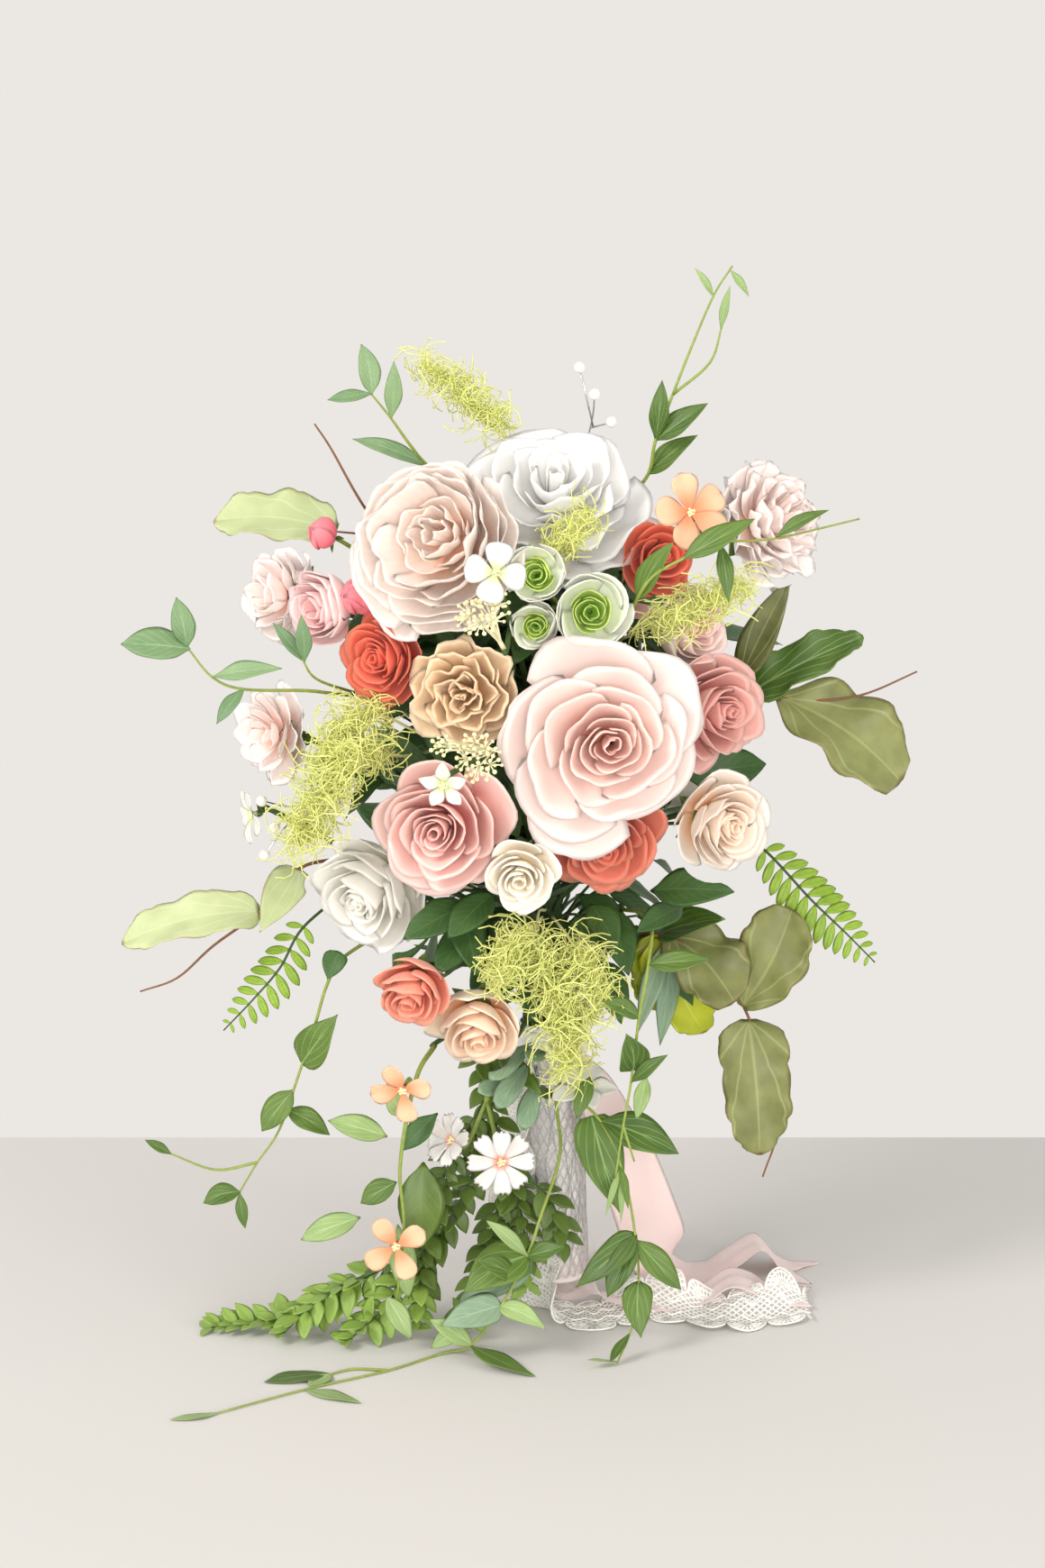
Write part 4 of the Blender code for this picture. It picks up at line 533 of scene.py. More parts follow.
# petal layers from the outside in: petals, reach, rise, half angle in degrees
# the pairs below them run from the outermost layer to the heart
# deep sets how far the inner layers move to the heart colour: partly the flower's own colour, partly painted
# shade deep in the flower
bloomKinds = {
    "openRose": {"depth": 0.44,
        "layers": [(5, 1.0, 0.50, 46), (5, 0.82, 0.74, 46), (4, 0.61, 0.92, 58), (3, 0.42, 1.00, 74),
            (3, 0.28, 1.01, 80), (3, 0.175, 1.04, 86), (2, 0.07, 1.06, 125)], "start": (0.22, 0.50),
            "bulge": (0.76, 1.15), "low": (0.10, 0.36), "curl": (0.13, 0.0), "drop": (0.24, 0.12),
            "power": (2.0, 2.0), "cup": (0.0, 0.08), "spiral": (0.10, 0.16), "wave": (0.060, 0.016),
            "waves": 1.1, "thick": 0.95, "warp": 0.035, "deep": 0.9},
    "looseRose": {"depth": 0.44,
        "layers": [(5, 1.0, 0.50, 46), (5, 0.85, 0.74, 46), (4, 0.65, 0.93, 58), (3, 0.45, 1.02, 74),
            (3, 0.27, 1.03, 80), (2, 0.10, 1.05, 115)], "start": (0.22, 0.45), "bulge": (0.80, 1.10),
            "low": (0.10, 0.35), "curl": (0.13, 0.02), "drop": (0.22, 0.16), "power": (1.8, 1.6),
            "cup": (0.0, 0.08), "spiral": (0.10, 0.18), "wave": (0.085, 0.045), "waves": 1.3, "thick": 0.8,
            "warp": 0.05, "lean": (0.04, 0.06), "deep": 0.8},
    "rose": {"depth": 0.60, "layers": [(5, 1.07, 0.60, 48), (5, 0.86, 0.84, 47), (4, 0.68, 0.98, 58),
        (3, 0.48, 1.03, 74), (3, 0.30, 0.93, 80), (3, 0.19, 0.95, 86), (2, 0.08, 0.95, 125)],
        "start": (0.10, 0.45), "bulge": (0.86, 1.15), "low": (0.06, 0.30), "curl": (0.16, 0.01),
        "drop": (0.31, 0.06), "power": (1.3, 2.2), "cup": (0.04, 0.06), "spiral": (0.10, 0.20),
        "wave": (0.045, 0.006), "waves": 1.15, "thick": 0.8, "warp": 0.04, "deep": 0.8},
    "smallRose": {"depth": 0.68,
        "layers": [(4, 1.07, 0.64, 58), (4, 0.82, 0.88, 60), (3, 0.60, 1.02, 78), (3, 0.36, 1.0, 84),
            (2, 0.16, 1.0, 120)], "start": (0.08, 0.4), "bulge": (0.96, 1.15), "low": (0.06, 0.35),
            "curl": (0.22, 0.02), "drop": (0.36, 0.06), "power": (1.2, 2.2), "cup": (0.04, 0.06),
            "spiral": (0.12, 0.22), "wave": (0.04, 0.01), "waves": 1.1, "thick": 1.0, "warp": 0.04,
            "deep": 0.8},
    "wavyRose": {"depth": 0.60,
        "layers": [(5, 1.0, 0.64, 46), (4, 0.80, 0.86, 56), (4, 0.60, 1.0, 58), (3, 0.40, 1.03, 76),
            (3, 0.22, 1.0, 82), (2, 0.05, 1.02, 120)], "start": (0.10, 0.4), "bulge": (0.86, 1.10),
            "low": (0.05, 0.3), "curl": (0.15, 0.02), "drop": (0.20, 0.12), "power": (1.7, 1.7),
            "cup": (0.0, 0.08), "spiral": (0.08, 0.16), "wave": (0.12, 0.05), "waves": 1.5, "thick": 1.2,
            "warp": 0.06, "deep": 0.5},
    "peony": {"depth": 0.50, "layers": [(7, 1.0, 0.44, 36), (7, 0.93, 0.62, 36), (6, 0.84, 0.80, 40),
        (6, 0.73, 0.96, 42), (5, 0.60, 1.03, 50), (4, 0.40, 0.78, 56), (4, 0.26, 0.88, 58),
        (3, 0.12, 0.94, 74)], "start": (0.10, 0.30), "bulge": (0.96, 1.15), "low": (0.03, 0.25),
        "curl": (0.10, 0.0), "drop": (0.12, 0.12), "power": (2.8, 2.4), "cup": (0.03, 0.02),
        "spiral": (0.07, 0.10), "wave": (0.030, 0.045), "waves": 1.3, "frill": 0.014, "frills": 2.2,
        "thick": 0.5, "warp": 0.04, "lean": (0.08, 0.16), "deep": 0.35},
    "carnation": {"depth": 0.56,
        "layers": [(9, 1.0, 0.40, 24), (8, 0.92, 0.62, 26), (7, 0.78, 0.82, 29), (6, 0.60, 0.94, 34),
            (5, 0.42, 1.0, 40), (4, 0.22, 1.03, 48)], "start": (0.15, 0.5), "bulge": (0.74, 0.9),
            "low": (0.0, 0.35), "curl": (0.10, 0.03), "drop": (0.24, 0.16), "power": (2.2, 2.2),
            "cup": (-0.03, 0.0), "spiral": (0.08, 0.08), "wave": (0.085, 0.06), "waves": 1.6, "frill": 0.02,
            "frills": 3.0, "thick": 0.45, "warp": 0.07, "loose": 2.2, "deep": 0.6},
    "ruffled": {"depth": 0.56,
        "layers": [(6, 1.02, 0.48, 38), (6, 0.90, 0.68, 38), (5, 0.74, 0.86, 44), (4, 0.52, 0.98, 52),
            (4, 0.30, 1.02, 56)], "start": (0.12, 0.45), "bulge": (0.82, 1.0), "low": (0.0, 0.3),
            "curl": (0.16, 0.04), "drop": (0.22, 0.18), "power": (1.7, 1.8), "cup": (0.0, 0.04),
            "spiral": (0.09, 0.12), "wave": (0.085, 0.05), "waves": 1.0, "thick": 0.5, "warp": 0.09,
            "loose": 1.8, "deep": 0.5},
    "ranunculus": {"depth": 0.66,
        "layers": [(5, 1.0, 0.78, 48), (5, 0.86, 0.94, 48), (4, 0.68, 1.0, 58), (4, 0.46, 0.96, 58),
            (3, 0.26, 0.92, 80)], "start": (0.05, 0.3), "bulge": (1.05, 1.2), "low": (0.05, 0.3),
            "curl": (0.10, 0.0), "drop": (0.18, 0.10), "power": (2.0, 2.4), "cup": (0.02, 0.05),
            "spiral": (0.08, 0.14), "wave": (0.05, 0.02), "waves": 1.2, "thick": 0.6, "warp": 0.06,
            "loose": 1.6, "deep": 0.7},
    "greenRanunculus": {"depth": 0.66,
        "layers": [(3, 1.0, 0.84, 70), (3, 0.92, 1.0, 72), (3, 0.54, 0.78, 80), (3, 0.37, 0.74, 84),
            (2, 0.19, 0.76, 110)], "start": (0.05, 0.3), "bulge": (1.12, 1.25), "low": (0.05, 0.2),
            "curl": (0.04, 0.0), "drop": (0.20, 0.10), "power": (2.2, 2.4), "cup": (0.02, 0.05),
            "spiral": (0.10, 0.16), "wave": (0.05, 0.03), "waves": 1.0, "thick": 0.7, "heartFrom": 2,
            "warp": 0.07, "lean": (0.0, -0.06)},
    "gardenia": {"depth": 0.48,
        "layers": [(6, 1.0, 0.40, 32), (6, 0.88, 0.62, 32), (5, 0.70, 0.86, 38), (4, 0.46, 1.0, 46),
            (3, 0.22, 1.0, 64)], "start": (0.15, 0.5), "bulge": (0.74, 1.0), "low": (0.0, 0.35),
            "curl": (0.17, 0.05), "drop": (0.36, 0.24), "power": (1.4, 1.6), "cup": (-0.04, 0.05),
            "spiral": (0.08, 0.10), "wave": (0.06, 0.03), "waves": 1.2, "thick": 0.5, "warp": 0.06,
            "loose": 2.0, "deep": 0.5},
    "bud": {"depth": 0.95, "layers": [(4, 0.05, 1.00, 62, 1.75), (4, 0.03, 1.04, 62, 1.5),
        (3, 0.0, 1.08, 74, 1.0)], "start": (0.0, 0.0), "bulge": (1.0, 1.0), "low": (0.35, 0.35),
        "curl": (0.0, 0.0), "drop": (0.12, 0.12), "power": (2.0, 2.0), "cup": (0.0, 0.0),
        "spiral": (0.12, 0.12), "wave": (0.03, 0.03), "waves": 1.0, "thick": 0.5, "warp": 0.03},
}
# petals that fall out of their flower's round: direction in degrees (90 is up), then a layer
looseParts = {
    "rose_blush_large": [(-104, (1, 1.20, 0.42, 34)), (164, (1, 1.04, 0.40, 40)), (20, (1, 1.05, 0.40, 38))],
    "rose_white_large": [(-58, (1, 1.14, 0.34, 44)), (-150, (1, 1.08, 0.36, 42))],
}
# flowers cut shorter on one side: direction in degrees, share of the radius
trims = {"rose_blush_large": (-58, 0.17)}
# flat flowers: petals, face, facing, diameter, cup, outline, petal width over its length, finish
florets = {
    "orchid_peach_right": (5, (70, -92, 452), (24, 18), 44, 7, "rounded", 0.66, "apricot"),
    "floret_white_front": (4, (-30, -152, 428), (8, 12), 33, 3, "rounded", 0.80, "floretWhite"),
    "star_flower": (5, (-56, -160, 322), (-10, -14), 28, 5, "pointed", 0.50, "floretWhite"),
    "orchid_peach_low": (4, (-80, -114, 149), (-16, -12), 37, 7, "rounded", 0.60, "apricot"),
    "orchid_peach_base": (4, (-84, -112, 62), (-8, 4), 40, 8, "rounded", 0.56, "apricot"),
    "cosmos_front": (8, (-28, -106, 107), (4, -4), 39, 4, "toothed", 0.47, "cosmosWhite"),
    "cosmos_side": (8, (-55, -84, 112), (-44, 24), 32, 7, "toothed", 0.50, "cosmosWhite"),
    "floret_white_low": (5, (16, -66, 136), (10, 62), 42, 6, "pointed", 0.62, "floretWhite"),
    "floret_white_left": (5, (-164, -34, 281), (-66, -6), 34, 5, "rounded", 0.62, "floretWhite"),
}
floretNeck = 6.0
kindDepths = {name: look["depth"] for name, look in bloomKinds.items()}


def bloomBase(name):
    # the centre of the underside, and the way the flower faces
    if name in blooms:
        kind, face, facing, diameter, _ = blooms[name]
        depth = kindDepths[kind] * diameter
    else:
        _, face, facing, diameter = florets[name][:4]
        depth = floretNeck
    axis = facingVector(*facing)
    return np.array(face, float) - axis * depth, axis


clearances = []
for name, (kind, _, _, diameter, _) in blooms.items():
    base, axis = bloomBase(name)
    deep = kindDepths[kind] * diameter
    clearances.append((base + axis * 0.55 * deep, axis, 1.06 * diameter / 2, 0.60 * deep))
for name, values in florets.items():
    clearances.append((np.array(values[1], float), bloomBase(name)[1], values[3] / 2, 3.0 + values[4]))


def keepClear(points, margin=1.6):
    # foliage is moved out of the room that each flower takes, and never below the surface
    moved = np.array(points, float).reshape(-1, 3)
    for _ in range(5):
        for centre, axis, wide, deep in clearances:
            rel = moved - centre
            up = rel @ axis
            out = np.linalg.norm(rel - up[:, None] * axis, axis=1)
            reach = np.hypot(out / (wide + margin), up / (deep + margin))
            near = (reach < 1.0) & (reach > 1e-6)
            moved[near] = centre + rel[near] / reach[near][:, None]
    moved[:, 2] = np.maximum(moved[:, 2], 0.9)
    return moved.reshape(np.shape(points))


def pushedLine(line):
    line = np.array(line, float)
    line[1:] = keepClear(line[1:])
    return line


# petals

def petalGrid(base, axis, radius, depth, layer, look, share, turnAt, rng, rows, cols, phases):
    _, reach, rise, halfAngle = layer[:4]

    def between(key):
        low, high = look[key]
        return low + (high - low) * share

    across = np.linspace(-1, 1, cols)[None, :]
    along = np.linspace(0, 1, rows)[:, None]
    sideways = np.abs(across)
    uneven = rng.uniform(0.3, 1.0) * 0.035
    uneven = 1 + uneven * np.sin(math.pi * across * rng.uniform(1.2, 2.0) + rng.uniform(0, anyTurn))
    closed = len(layer) > 4  # a closed bud: its petals meet in the tip
    s = along * (1 - between("drop") * sideways ** between("power")) * uneven
    if closed:
        s = along * (1 - 0.01 * sideways)
    loose = look.get("loose", 1.0) * (1.0 - 0.6 * share)
    reach = radius * reach * (1 + loose * rng.uniform(-0.09, 0.05))
    rise = depth * rise * (1 + loose * rng.uniform(-0.07, 0.06))
    curl = 0.0 if closed else between("curl") * radius
    r0, z0 = 0.05 * radius, (between("start") if share > 0 else 0.0) * depth
    r2, z2 = reach - 0.6 * curl, rise + 0.35 * curl
    r1 = radius * layer[4] if closed else r2 * between("bulge")
    z1 = z0 + (z2 - z0) * between("low")
    r, z = [(1 - s) ** 2 * a + 2 * s * (1 - s) * b + s**2 * c for a, b, c in ((r0, r1, r2), (z0, z1, z2))]
    roll = np.clip((s - 0.62) / 0.38, 0, 1)
    r = r + curl * roll**2 * (0.5 + 0.6 * sideways)
    z = z - curl * roll**2.4 * (0.5 + 0.7 * sideways**2)
    nr, nz = -np.gradient(z, axis=0), np.gradient(r, axis=0)
    size = np.maximum(np.hypot(nr, nz), 1e-9)
    twist = 1.3 * s if closed else rng.uniform(-0.05, 0.05) * s**2
    angle = turnAt + math.radians(halfAngle) * across + twist
    # the petals of a layer share their waves and so don't cross
    waves = max(2, round(look["waves"] * 180 / halfAngle))
    frills = round(look.get("frills", 1) * 180 / halfAngle)
    wave = np.sin(waves * angle + phases[0]) + 0.45 * np.sin((2 * waves + 1) * angle + phases[1])
    push = between("wave") * radius * s**2 * wave
    push = push + look.get("frill", 0.0) * radius * s**6 * np.sin(frills * angle + phases[1])
    r = r + nr / size * push
    z = z + nz / size * push
    r = r * (1 - between("cup") * sideways**2 * s) * (1 + between("spiral") * across)
    side, other = axesAbout(axis)
    spread = (r * np.cos(angle))[..., None] * side + (r * np.sin(angle))[..., None] * other
    grid = base + spread + z[..., None] * axis
    # closed buds run only half way along the tint, so they keep more of the heart colour: partly their own,
    # partly painted shade deep in the flower
    uv = np.stack(np.broadcast_arrays((across + 1) / 2, s * (0.5 if closed else 1.0)), -1)
    return grid, uv


def bloomMesh(cloud, heartCloud, name):
    kind, _, _, diameter, _ = blooms[name]
    look = bloomKinds[kind]
    base, axis = bloomBase(name)
    rng = np.random.default_rng(sum(map(ord, name)))
    radius, depth = diameter / 2, look["depth"] * diameter
    rows, cols = (13, 15) if diameter > 70 else (11, 13) if diameter > 35 else (9, 9)
    layers = look["layers"]
    turnAt = rng.uniform(0, anyTurn)
    side, other = axesAbout(axis)
    off = look.get("lean", (rng.uniform(-0.07, 0.07), rng.uniform(-0.02, 0.07)))
    lean = (off[0] * side + off[1] * other) * radius  # the heart sits a little off centre
    warp = look.get("warp", 0.0) * radius
    swells = [(rng.normal(size=3) * 1.3 / radius, rng.uniform(0, anyTurn), unit(rng.normal(size=3)) * warp)
              for _ in range(4)]

    def warped(grid):
        if name in trims:
            turn, much = math.radians(trims[name][0]), trims[name][1]
            way = spoke(turn, side, other)
            grid = grid - much * radius * np.clip((grid - base) @ way / radius, 0, 2)[..., None] ** 2 * way
        height = np.clip((grid - base) @ axis / depth, 0, 1)[..., None]
        pushes = [np.sin((grid - base) @ way + phase)[..., None] * push for way, phase, push in swells]
        return grid + height * sum(pushes)

    for number, layer in enumerate(layers):
        share = number / (len(layers) - 1)
        turnAt += math.pi / layer[0] + 0.15
        phases = rng.uniform(0, anyTurn, 2)
        target = heartCloud if number >= look.get("heartFrom", len(layers)) else cloud
        for k in range(layer[0]):
            turn = turnAt + 2 * math.pi * k / layer[0] + rng.uniform(-0.12, 0.12)
            grid, uv = petalGrid(base + lean * share, axis, radius, depth, layer, look, share, turn,
                                 rng, rows, cols, phases)
            # the tone grows towards the heart and gives the inner layers more of the heart colour, partly as
            # painted shade
            thinSheet(target, warped(grid), look["thick"], uv, share * look.get("deep", 1.0))
    for direction, layer in looseParts.get(name, ()):
        grid, uv = petalGrid(base, axis, radius, depth, layer, look, 0.0, math.radians(direction),
                             rng, rows, cols, (0.0, 0.0))
        thinSheet(cloud, warped(grid), look["thick"], uv, 0.0)


sepalCloud = newCloud()


# blades: leaves, sepals and flat petals

bladeOutlines = {
    "oval": [(0, 0.04), (0.08, 0.26), (0.2, 0.70), (0.36, 0.97), (0.5, 1.0), (0.7, 0.78), (0.85, 0.45),
        (0.95, 0.16), (1, 0.02)],
    "heart": [(0, 0.12), (0.05, 0.48), (0.12, 0.82), (0.26, 1.0), (0.45, 0.95), (0.62, 0.76), (0.8, 0.42),
        (0.93, 0.13), (1, 0.02)],
    "narrow": [(0, 0.06), (0.1, 0.26), (0.3, 0.80), (0.45, 1.0), (0.65, 0.84), (0.82, 0.5), (0.94, 0.18),
        (1, 0.02)],
    "lobed": [(0, 0.22), (0.05, 0.66), (0.11, 0.92), (0.16, 0.94), (0.22, 1.0), (0.30, 1.0), (0.34, 0.92),
        (0.42, 1.0), (0.52, 0.96), (0.56, 0.90), (0.64, 0.95), (0.70, 0.90), (0.73, 0.80), (0.80, 0.80),
        (0.86, 0.68), (0.88, 0.56), (0.94, 0.46), (0.98, 0.24), (1, 0.06)],
    "fan": [(0, 0.16), (0.05, 0.36), (0.14, 0.62), (0.26, 0.82), (0.36, 0.90), (0.42, 0.88), (0.52, 1.0),
        (0.64, 1.0), (0.71, 0.90), (0.78, 0.94), (0.86, 0.84), (0.90, 0.68), (0.95, 0.56), (0.98, 0.34),
        (1, 0.10)],
    "rounded": [(0, 0.12), (0.15, 0.26), (0.4, 0.76), (0.65, 1.0), (0.82, 0.94), (0.93, 0.66), (0.98, 0.38),
        (1, 0.10)],
    "pointed": [(0, 0.14), (0.2, 0.5), (0.45, 0.98), (0.6, 1.0), (0.8, 0.66), (0.93, 0.26), (1, 0.02)],
    "toothed": [(0, 0.10), (0.2, 0.34), (0.5, 0.78), (0.8, 1.0), (0.92, 0.96), (1, 0.80)],
    "short": [(0, 0.10), (0.1, 0.40), (0.3, 0.86), (0.55, 1.0), (0.78, 0.82), (0.93, 0.45), (1, 0.06)],
}
outlineTables = {name: smoothLine([(x, y, 0) for x, y in rows], 6)[:, :2] for name,
                 rows in bladeOutlines.items()}


def addBlade(cloud, base, ahead, up, length, width, outline="oval", bend=0.5, fold=0.25, ripple=0.0,
             ripples=3.0,
             thick=0.4, rows=15, cols=9, tone=0.5, clear=True, notch=0.0, skew=0.0):
    ahead = unit(ahead)
    side = unit(np.cross(ahead, up))
    up = np.cross(side, ahead)
    s = np.linspace(0, 1, rows)
    table = outlineTables[outline]
    half = 0.5 * width * np.interp(s, table[:, 0], table[:, 1])
    angle = -bend * (s[:-1] + s[1:]) / 2
    steps = (np.outer(np.cos(angle), ahead) + np.outer(np.sin(angle), up)) * length / (rows - 1)
    spine = np.asarray(base, float) + np.vstack((np.zeros(3), np.cumsum(steps, axis=0)))
    normal = np.outer(np.cos(-bend * s), up) - np.outer(np.sin(-bend * s), ahead)
    u = np.linspace(-1, 1, cols)
    out = half[:, None] * u[None, :]
    lift = half[:, None] * np.sqrt(u**2 + 0.01)[None, :] * math.sin(fold)
    waved = ripple * np.sin(2 * math.pi * ripples * s[:, None] + 2.0 * u[None, :])
    lift = lift + waved * np.abs(u)[None, :] ** 1.5 * np.minimum(1, 4 * half[:, None] / max(width, 1e-6))
    grid = spine[:, None, :] + out[..., None] * math.cos(fold) * side + lift[..., None] * normal[:, None, :]
    if notch:  # teeth or a dip at the far end
        cut = notch * length * (0.5 - 0.5 * np.cos(3 * math.pi * u))
        grid = grid - (np.clip((s - 0.7) / 0.3, 0, 1) ** 2)[:, None, None] * cut[None, :, None] * ahead
    if skew:
        grid = grid + (skew * np.sin(math.pi * s))[:, None, None] * side
    if clear:
        grid = keepClear(grid)
    uv = np.stack(np.broadcast_arrays(((u + 1) / 2)[None, :], s[:, None]), -1)
    thinSheet(cloud, grid, thick, uv, tone)


def addSepals(name):
    base, axis = bloomBase(name)
    diameter = blooms[name][3] if name in blooms else florets[name][3]
    side, other = axesAbout(axis)
    size = min(10.0, 0.16 * diameter) if name in blooms else 2.2
    addTube(sepalCloud, [base - axis * 0.2, base + axis * 0.06 * diameter, base + axis * 0.13 * diameter],
            [0.55 * size, 0.95 * size, 0.5 * size], 10, 0.3)
    if name in florets:
        return
    for k in range(5):
        out = spoke(k * 2 * math.pi / 5, side, other)
        addBlade(sepalCloud, base + out * size * 0.4 - axis * 0.2, out + axis * 0.25, -axis + out * 0.2,
                 0.42 * diameter / 2 + 4, 0.14 * diameter, "narrow", -0.5, 0.1,
                 rows=8, cols=5, tone=0.4, clear=False)


def flatFlower(cloud, beads, name):
    petals, _, _, diameter, cup, outline, wide, _ = florets[name]
    base, axis = bloomBase(name)
    rng = np.random.default_rng(sum(map(ord, name)))
    side, other = axesAbout(axis)
    length = diameter / 2 * 0.97
    start = base + axis * (floretNeck - 1.0)
    turnAt = rng.uniform(0, anyTurn)
    for k in range(petals):
        out = spoke(turnAt + 2 * math.pi * k / petals + rng.uniform(-0.08, 0.08), side, other)
        tilt = math.atan2(cup * 0.9, length) + 0.10 * (k % 2)
        ahead = out * math.cos(tilt) + axis * math.sin(tilt)
        addBlade(cloud, start + axis * 0.4 * (k % 2), ahead, axis, length, length * wide * 1.15, outline,
                 0.35, 0.22, 0.5, 1.3, 0.45, 11, 9, 0.1 * (k % 3), False,
                 0.10 if outline == "toothed" else 0.0)
    addTube(cloud, [base, base + axis * (floretNeck - 2), base + axis * (floretNeck - 0.4)], [1.4, 1.7, 2.4],
            8, 1.0)
    for n in range(9):
        far = 2.2 * math.sqrt(n / 9)
        beads.append(start + axis * (1.8 - 0.1 * far) + far * spoke(beadTurn * n, side, other))


# geometry node trees for what repeats

def newTree(name, inputs):
    ends = [("Geometry", "Geometry", None)], [("Finish", "Material", None)]
    return newGroup(name, ends[0] + inputs + ends[1], [("Geometry", "Geometry")], "GeometryNodeTree")


def endTree(tree, given, out, points, shape, **placing):
    # the shape stands on every point, made real and smooth, with the finish
    placed = addNode(tree, "GeometryNodeInstanceOnPoints", {"Points": points, "Instance": shape, **placing})
    smooth = addNode(tree, "GeometryNodeSetShadeSmooth", {0: placed.outputs[0]})
    real = addNode(tree, "GeometryNodeRealizeInstances", {0: smooth.outputs[0]})
    inputs = {"Geometry": real.outputs[0], "Material": given["Finish"]}
    plugIn(out[0], addNode(tree, "GeometryNodeSetMaterial", inputs).outputs[0])
    return tree


def beadTree():
    # a small ball on every point: berries, pearls and the eyes of flowers
    tree, given, out = newTree("beadsOnPoints", [
        ("Radius", "Float", 0.002), ("Vary", "Float", 0.15), ("Rounds", "Int", 2), ("Seed", "Int", 3)])
    ball = addNode(tree, "GeometryNodeMeshIcoSphere",
                   {"Radius": given["Radius"], "Subdivisions": given["Rounds"]})
    size = addNode(tree, "FunctionNodeRandomValue", {2: 1 - given["Vary"], 3: 1.0, "Seed": given["Seed"]},
                   data_type="FLOAT")
    return endTree(tree, given, out, given["Geometry"], ball.outputs[0], Scale=size.outputs[1])


def mossTree():
    # curly filaments along a strand's core
    tree, given, out = newTree("mossFilaments", [
        ("Filaments", "Int", 200), ("Reach", "Float", 0.012), ("Turns", "Float", 0.6),
        ("Coil", "Float", 0.004),
        ("Thickness", "Float", 0.0003), ("Seed", "Int", 5)])
    core = addNode(tree, "GeometryNodeMeshToCurve", {"Mesh": given["Geometry"]})
    roots = addNode(tree, "GeometryNodeResampleCurve",
                    {"Curve": core.outputs[0], "Count": given["Filaments"]})
    hair = addNode(tree, "GeometryNodeCurveSpiral", {
        "Resolution": 12, "Rotations": given["Turns"], "Start Radius": 0.0002, "End Radius": given["Coil"],
        "Height": given["Reach"]})
    ring = addNode(tree, "GeometryNodeCurvePrimitiveCircle", {"Resolution": 3, "Radius": given["Thickness"]})
    skin = addNode(tree, "GeometryNodeCurveToMesh", {
        "Curve": hair.outputs[0], "Profile Curve": ring.outputs[0], "Fill Caps": True})
    anyWay = (3.14, 3.14, 3.14)
    turn = addNode(tree, "FunctionNodeRandomValue",
                   {0: [-a for a in anyWay], 1: anyWay, "Seed": given["Seed"]},
                   data_type="FLOAT_VECTOR")
    size = addNode(tree, "FunctionNodeRandomValue", {2: 0.5, 3: 1.15, "Seed": given["Seed"]},
                   data_type="FLOAT")
    return endTree(tree, given, out, roots.outputs[0], skin.outputs[0], Rotation=turn.outputs[0],
                   Scale=size.outputs[1])


def leafTree():
    # one leaf repeated on points, each turned to its point's own directions
    tree, given, out = newTree("leavesOnPoints", [("Leaf", "Object", None), ("Size", "Float", 1.0)])

    def stored(label, kind):
        node = addNode(tree, "GeometryNodeInputNamedAttribute", {"Name": label}, data_type=kind)
        return Wire(node.outputs[0])

    leaf = addNode(tree, "GeometryNodeObjectInfo", {"Object": given["Leaf"]})
    along = addNode(tree, "FunctionNodeAlignRotationToVector", {"Vector": stored("ahead", "FLOAT_VECTOR")},
                    axis="Y")
    turned = addNode(tree, "FunctionNodeAlignRotationToVector", {
        "Rotation": along.outputs[0], "Vector": stored("upward", "FLOAT_VECTOR")}, axis="Z", pivot_axis="Y")
    return endTree(tree, given, out, given["Geometry"], leaf.outputs["Geometry"], Rotation=turned.outputs[0],
                   Scale=stored("span", "FLOAT") * given["Size"])


beadsOnPoints, mossFilaments, leavesOnPoints = beadTree(), mossTree(), leafTree()
floorGap = 0.3  # grown pieces stay this far above the surface


def growPiece(name, tree, points, edges=(), attributes=None, **values):
    # runs a tree on points and keeps the result as a plain mesh, clear of the surface it stands on
    mesh = bpy.data.meshes.new(name + "Points")
    mesh.from_pydata((np.asarray(points) * mm).tolist(), list(edges), [])
    for label, numbers in (attributes or {}).items():
        numbers = np.asarray(numbers, float)
        kind, field = ("FLOAT_VECTOR", "vector") if numbers.ndim == 2 else ("FLOAT", "value")
        mesh.attributes.new(label, kind, "POINT").data.foreach_set(field, numbers.ravel())
    source = bpy.data.objects.new(name + "Source", mesh)
    scene.collection.objects.link(source)
    modifier = source.modifiers.new(name, "NODES")
    modifier.node_group = tree
    for item in tree.interface.items_tree:
        if item.in_out == "INPUT" and item.name in values:
            modifier[item.identifier] = values[item.name]
    graph = bpy.context.evaluated_depsgraph_get()
    grown = bpy.data.meshes.new_from_object(source.evaluated_get(graph))
    source.modifiers.remove(modifier)
    bpy.data.objects.remove(source)
    grown.name = name
    spots = np.empty(len(grown.vertices) * 3)
    grown.vertices.foreach_get("co", spots)
    spots[2::3] = np.maximum(spots[2::3], floorGap * mm)
    grown.vertices.foreach_set("co", spots)
    if "flat" not in grown.uv_layers:
        grown.uv_layers.new(name="flat")
    piece = bpy.data.objects.new(name, grown)
    scene.collection.objects.link(piece)
    return piece


# the blooms
singles = {
    "rose_blush_large": "blush", "rose_white_large": "white", "peony_peach": "peach",
        "rose_coral_left": "coral",
    "rose_champagne": "champagne", "rose_dusty_large": "dusty", "rose_dusty_right": "dusty",
        "rose_peach_right": "peach",
    "rose_ivory_left": "ivory", "rose_cream_small": "cream", "rose_terracotta": "terracotta",
        "rose_coral_small": "coral",
    "rose_peach_low": "apricot", "carnation_pink": "blush", "ranunculus_pale_left": "blush",
        "ranunculus_rose_left": "pink",
    "gardenia_left": "cream", "rose_coral_right": "coral", "rose_blush_right": "blush",
        "rose_ivory_back": "ivory",
    "rose_dusty_back": "dusty", "rose_blush_back": "blush", "rose_champagne_back": "champagne",
        "rose_peach_back": "peach",
    "orchid_peach_right": "apricot", "floret_white_front": "white", "star_flower": "white",
        "floret_white_low": "white",
    "floret_white_left": "white",
}
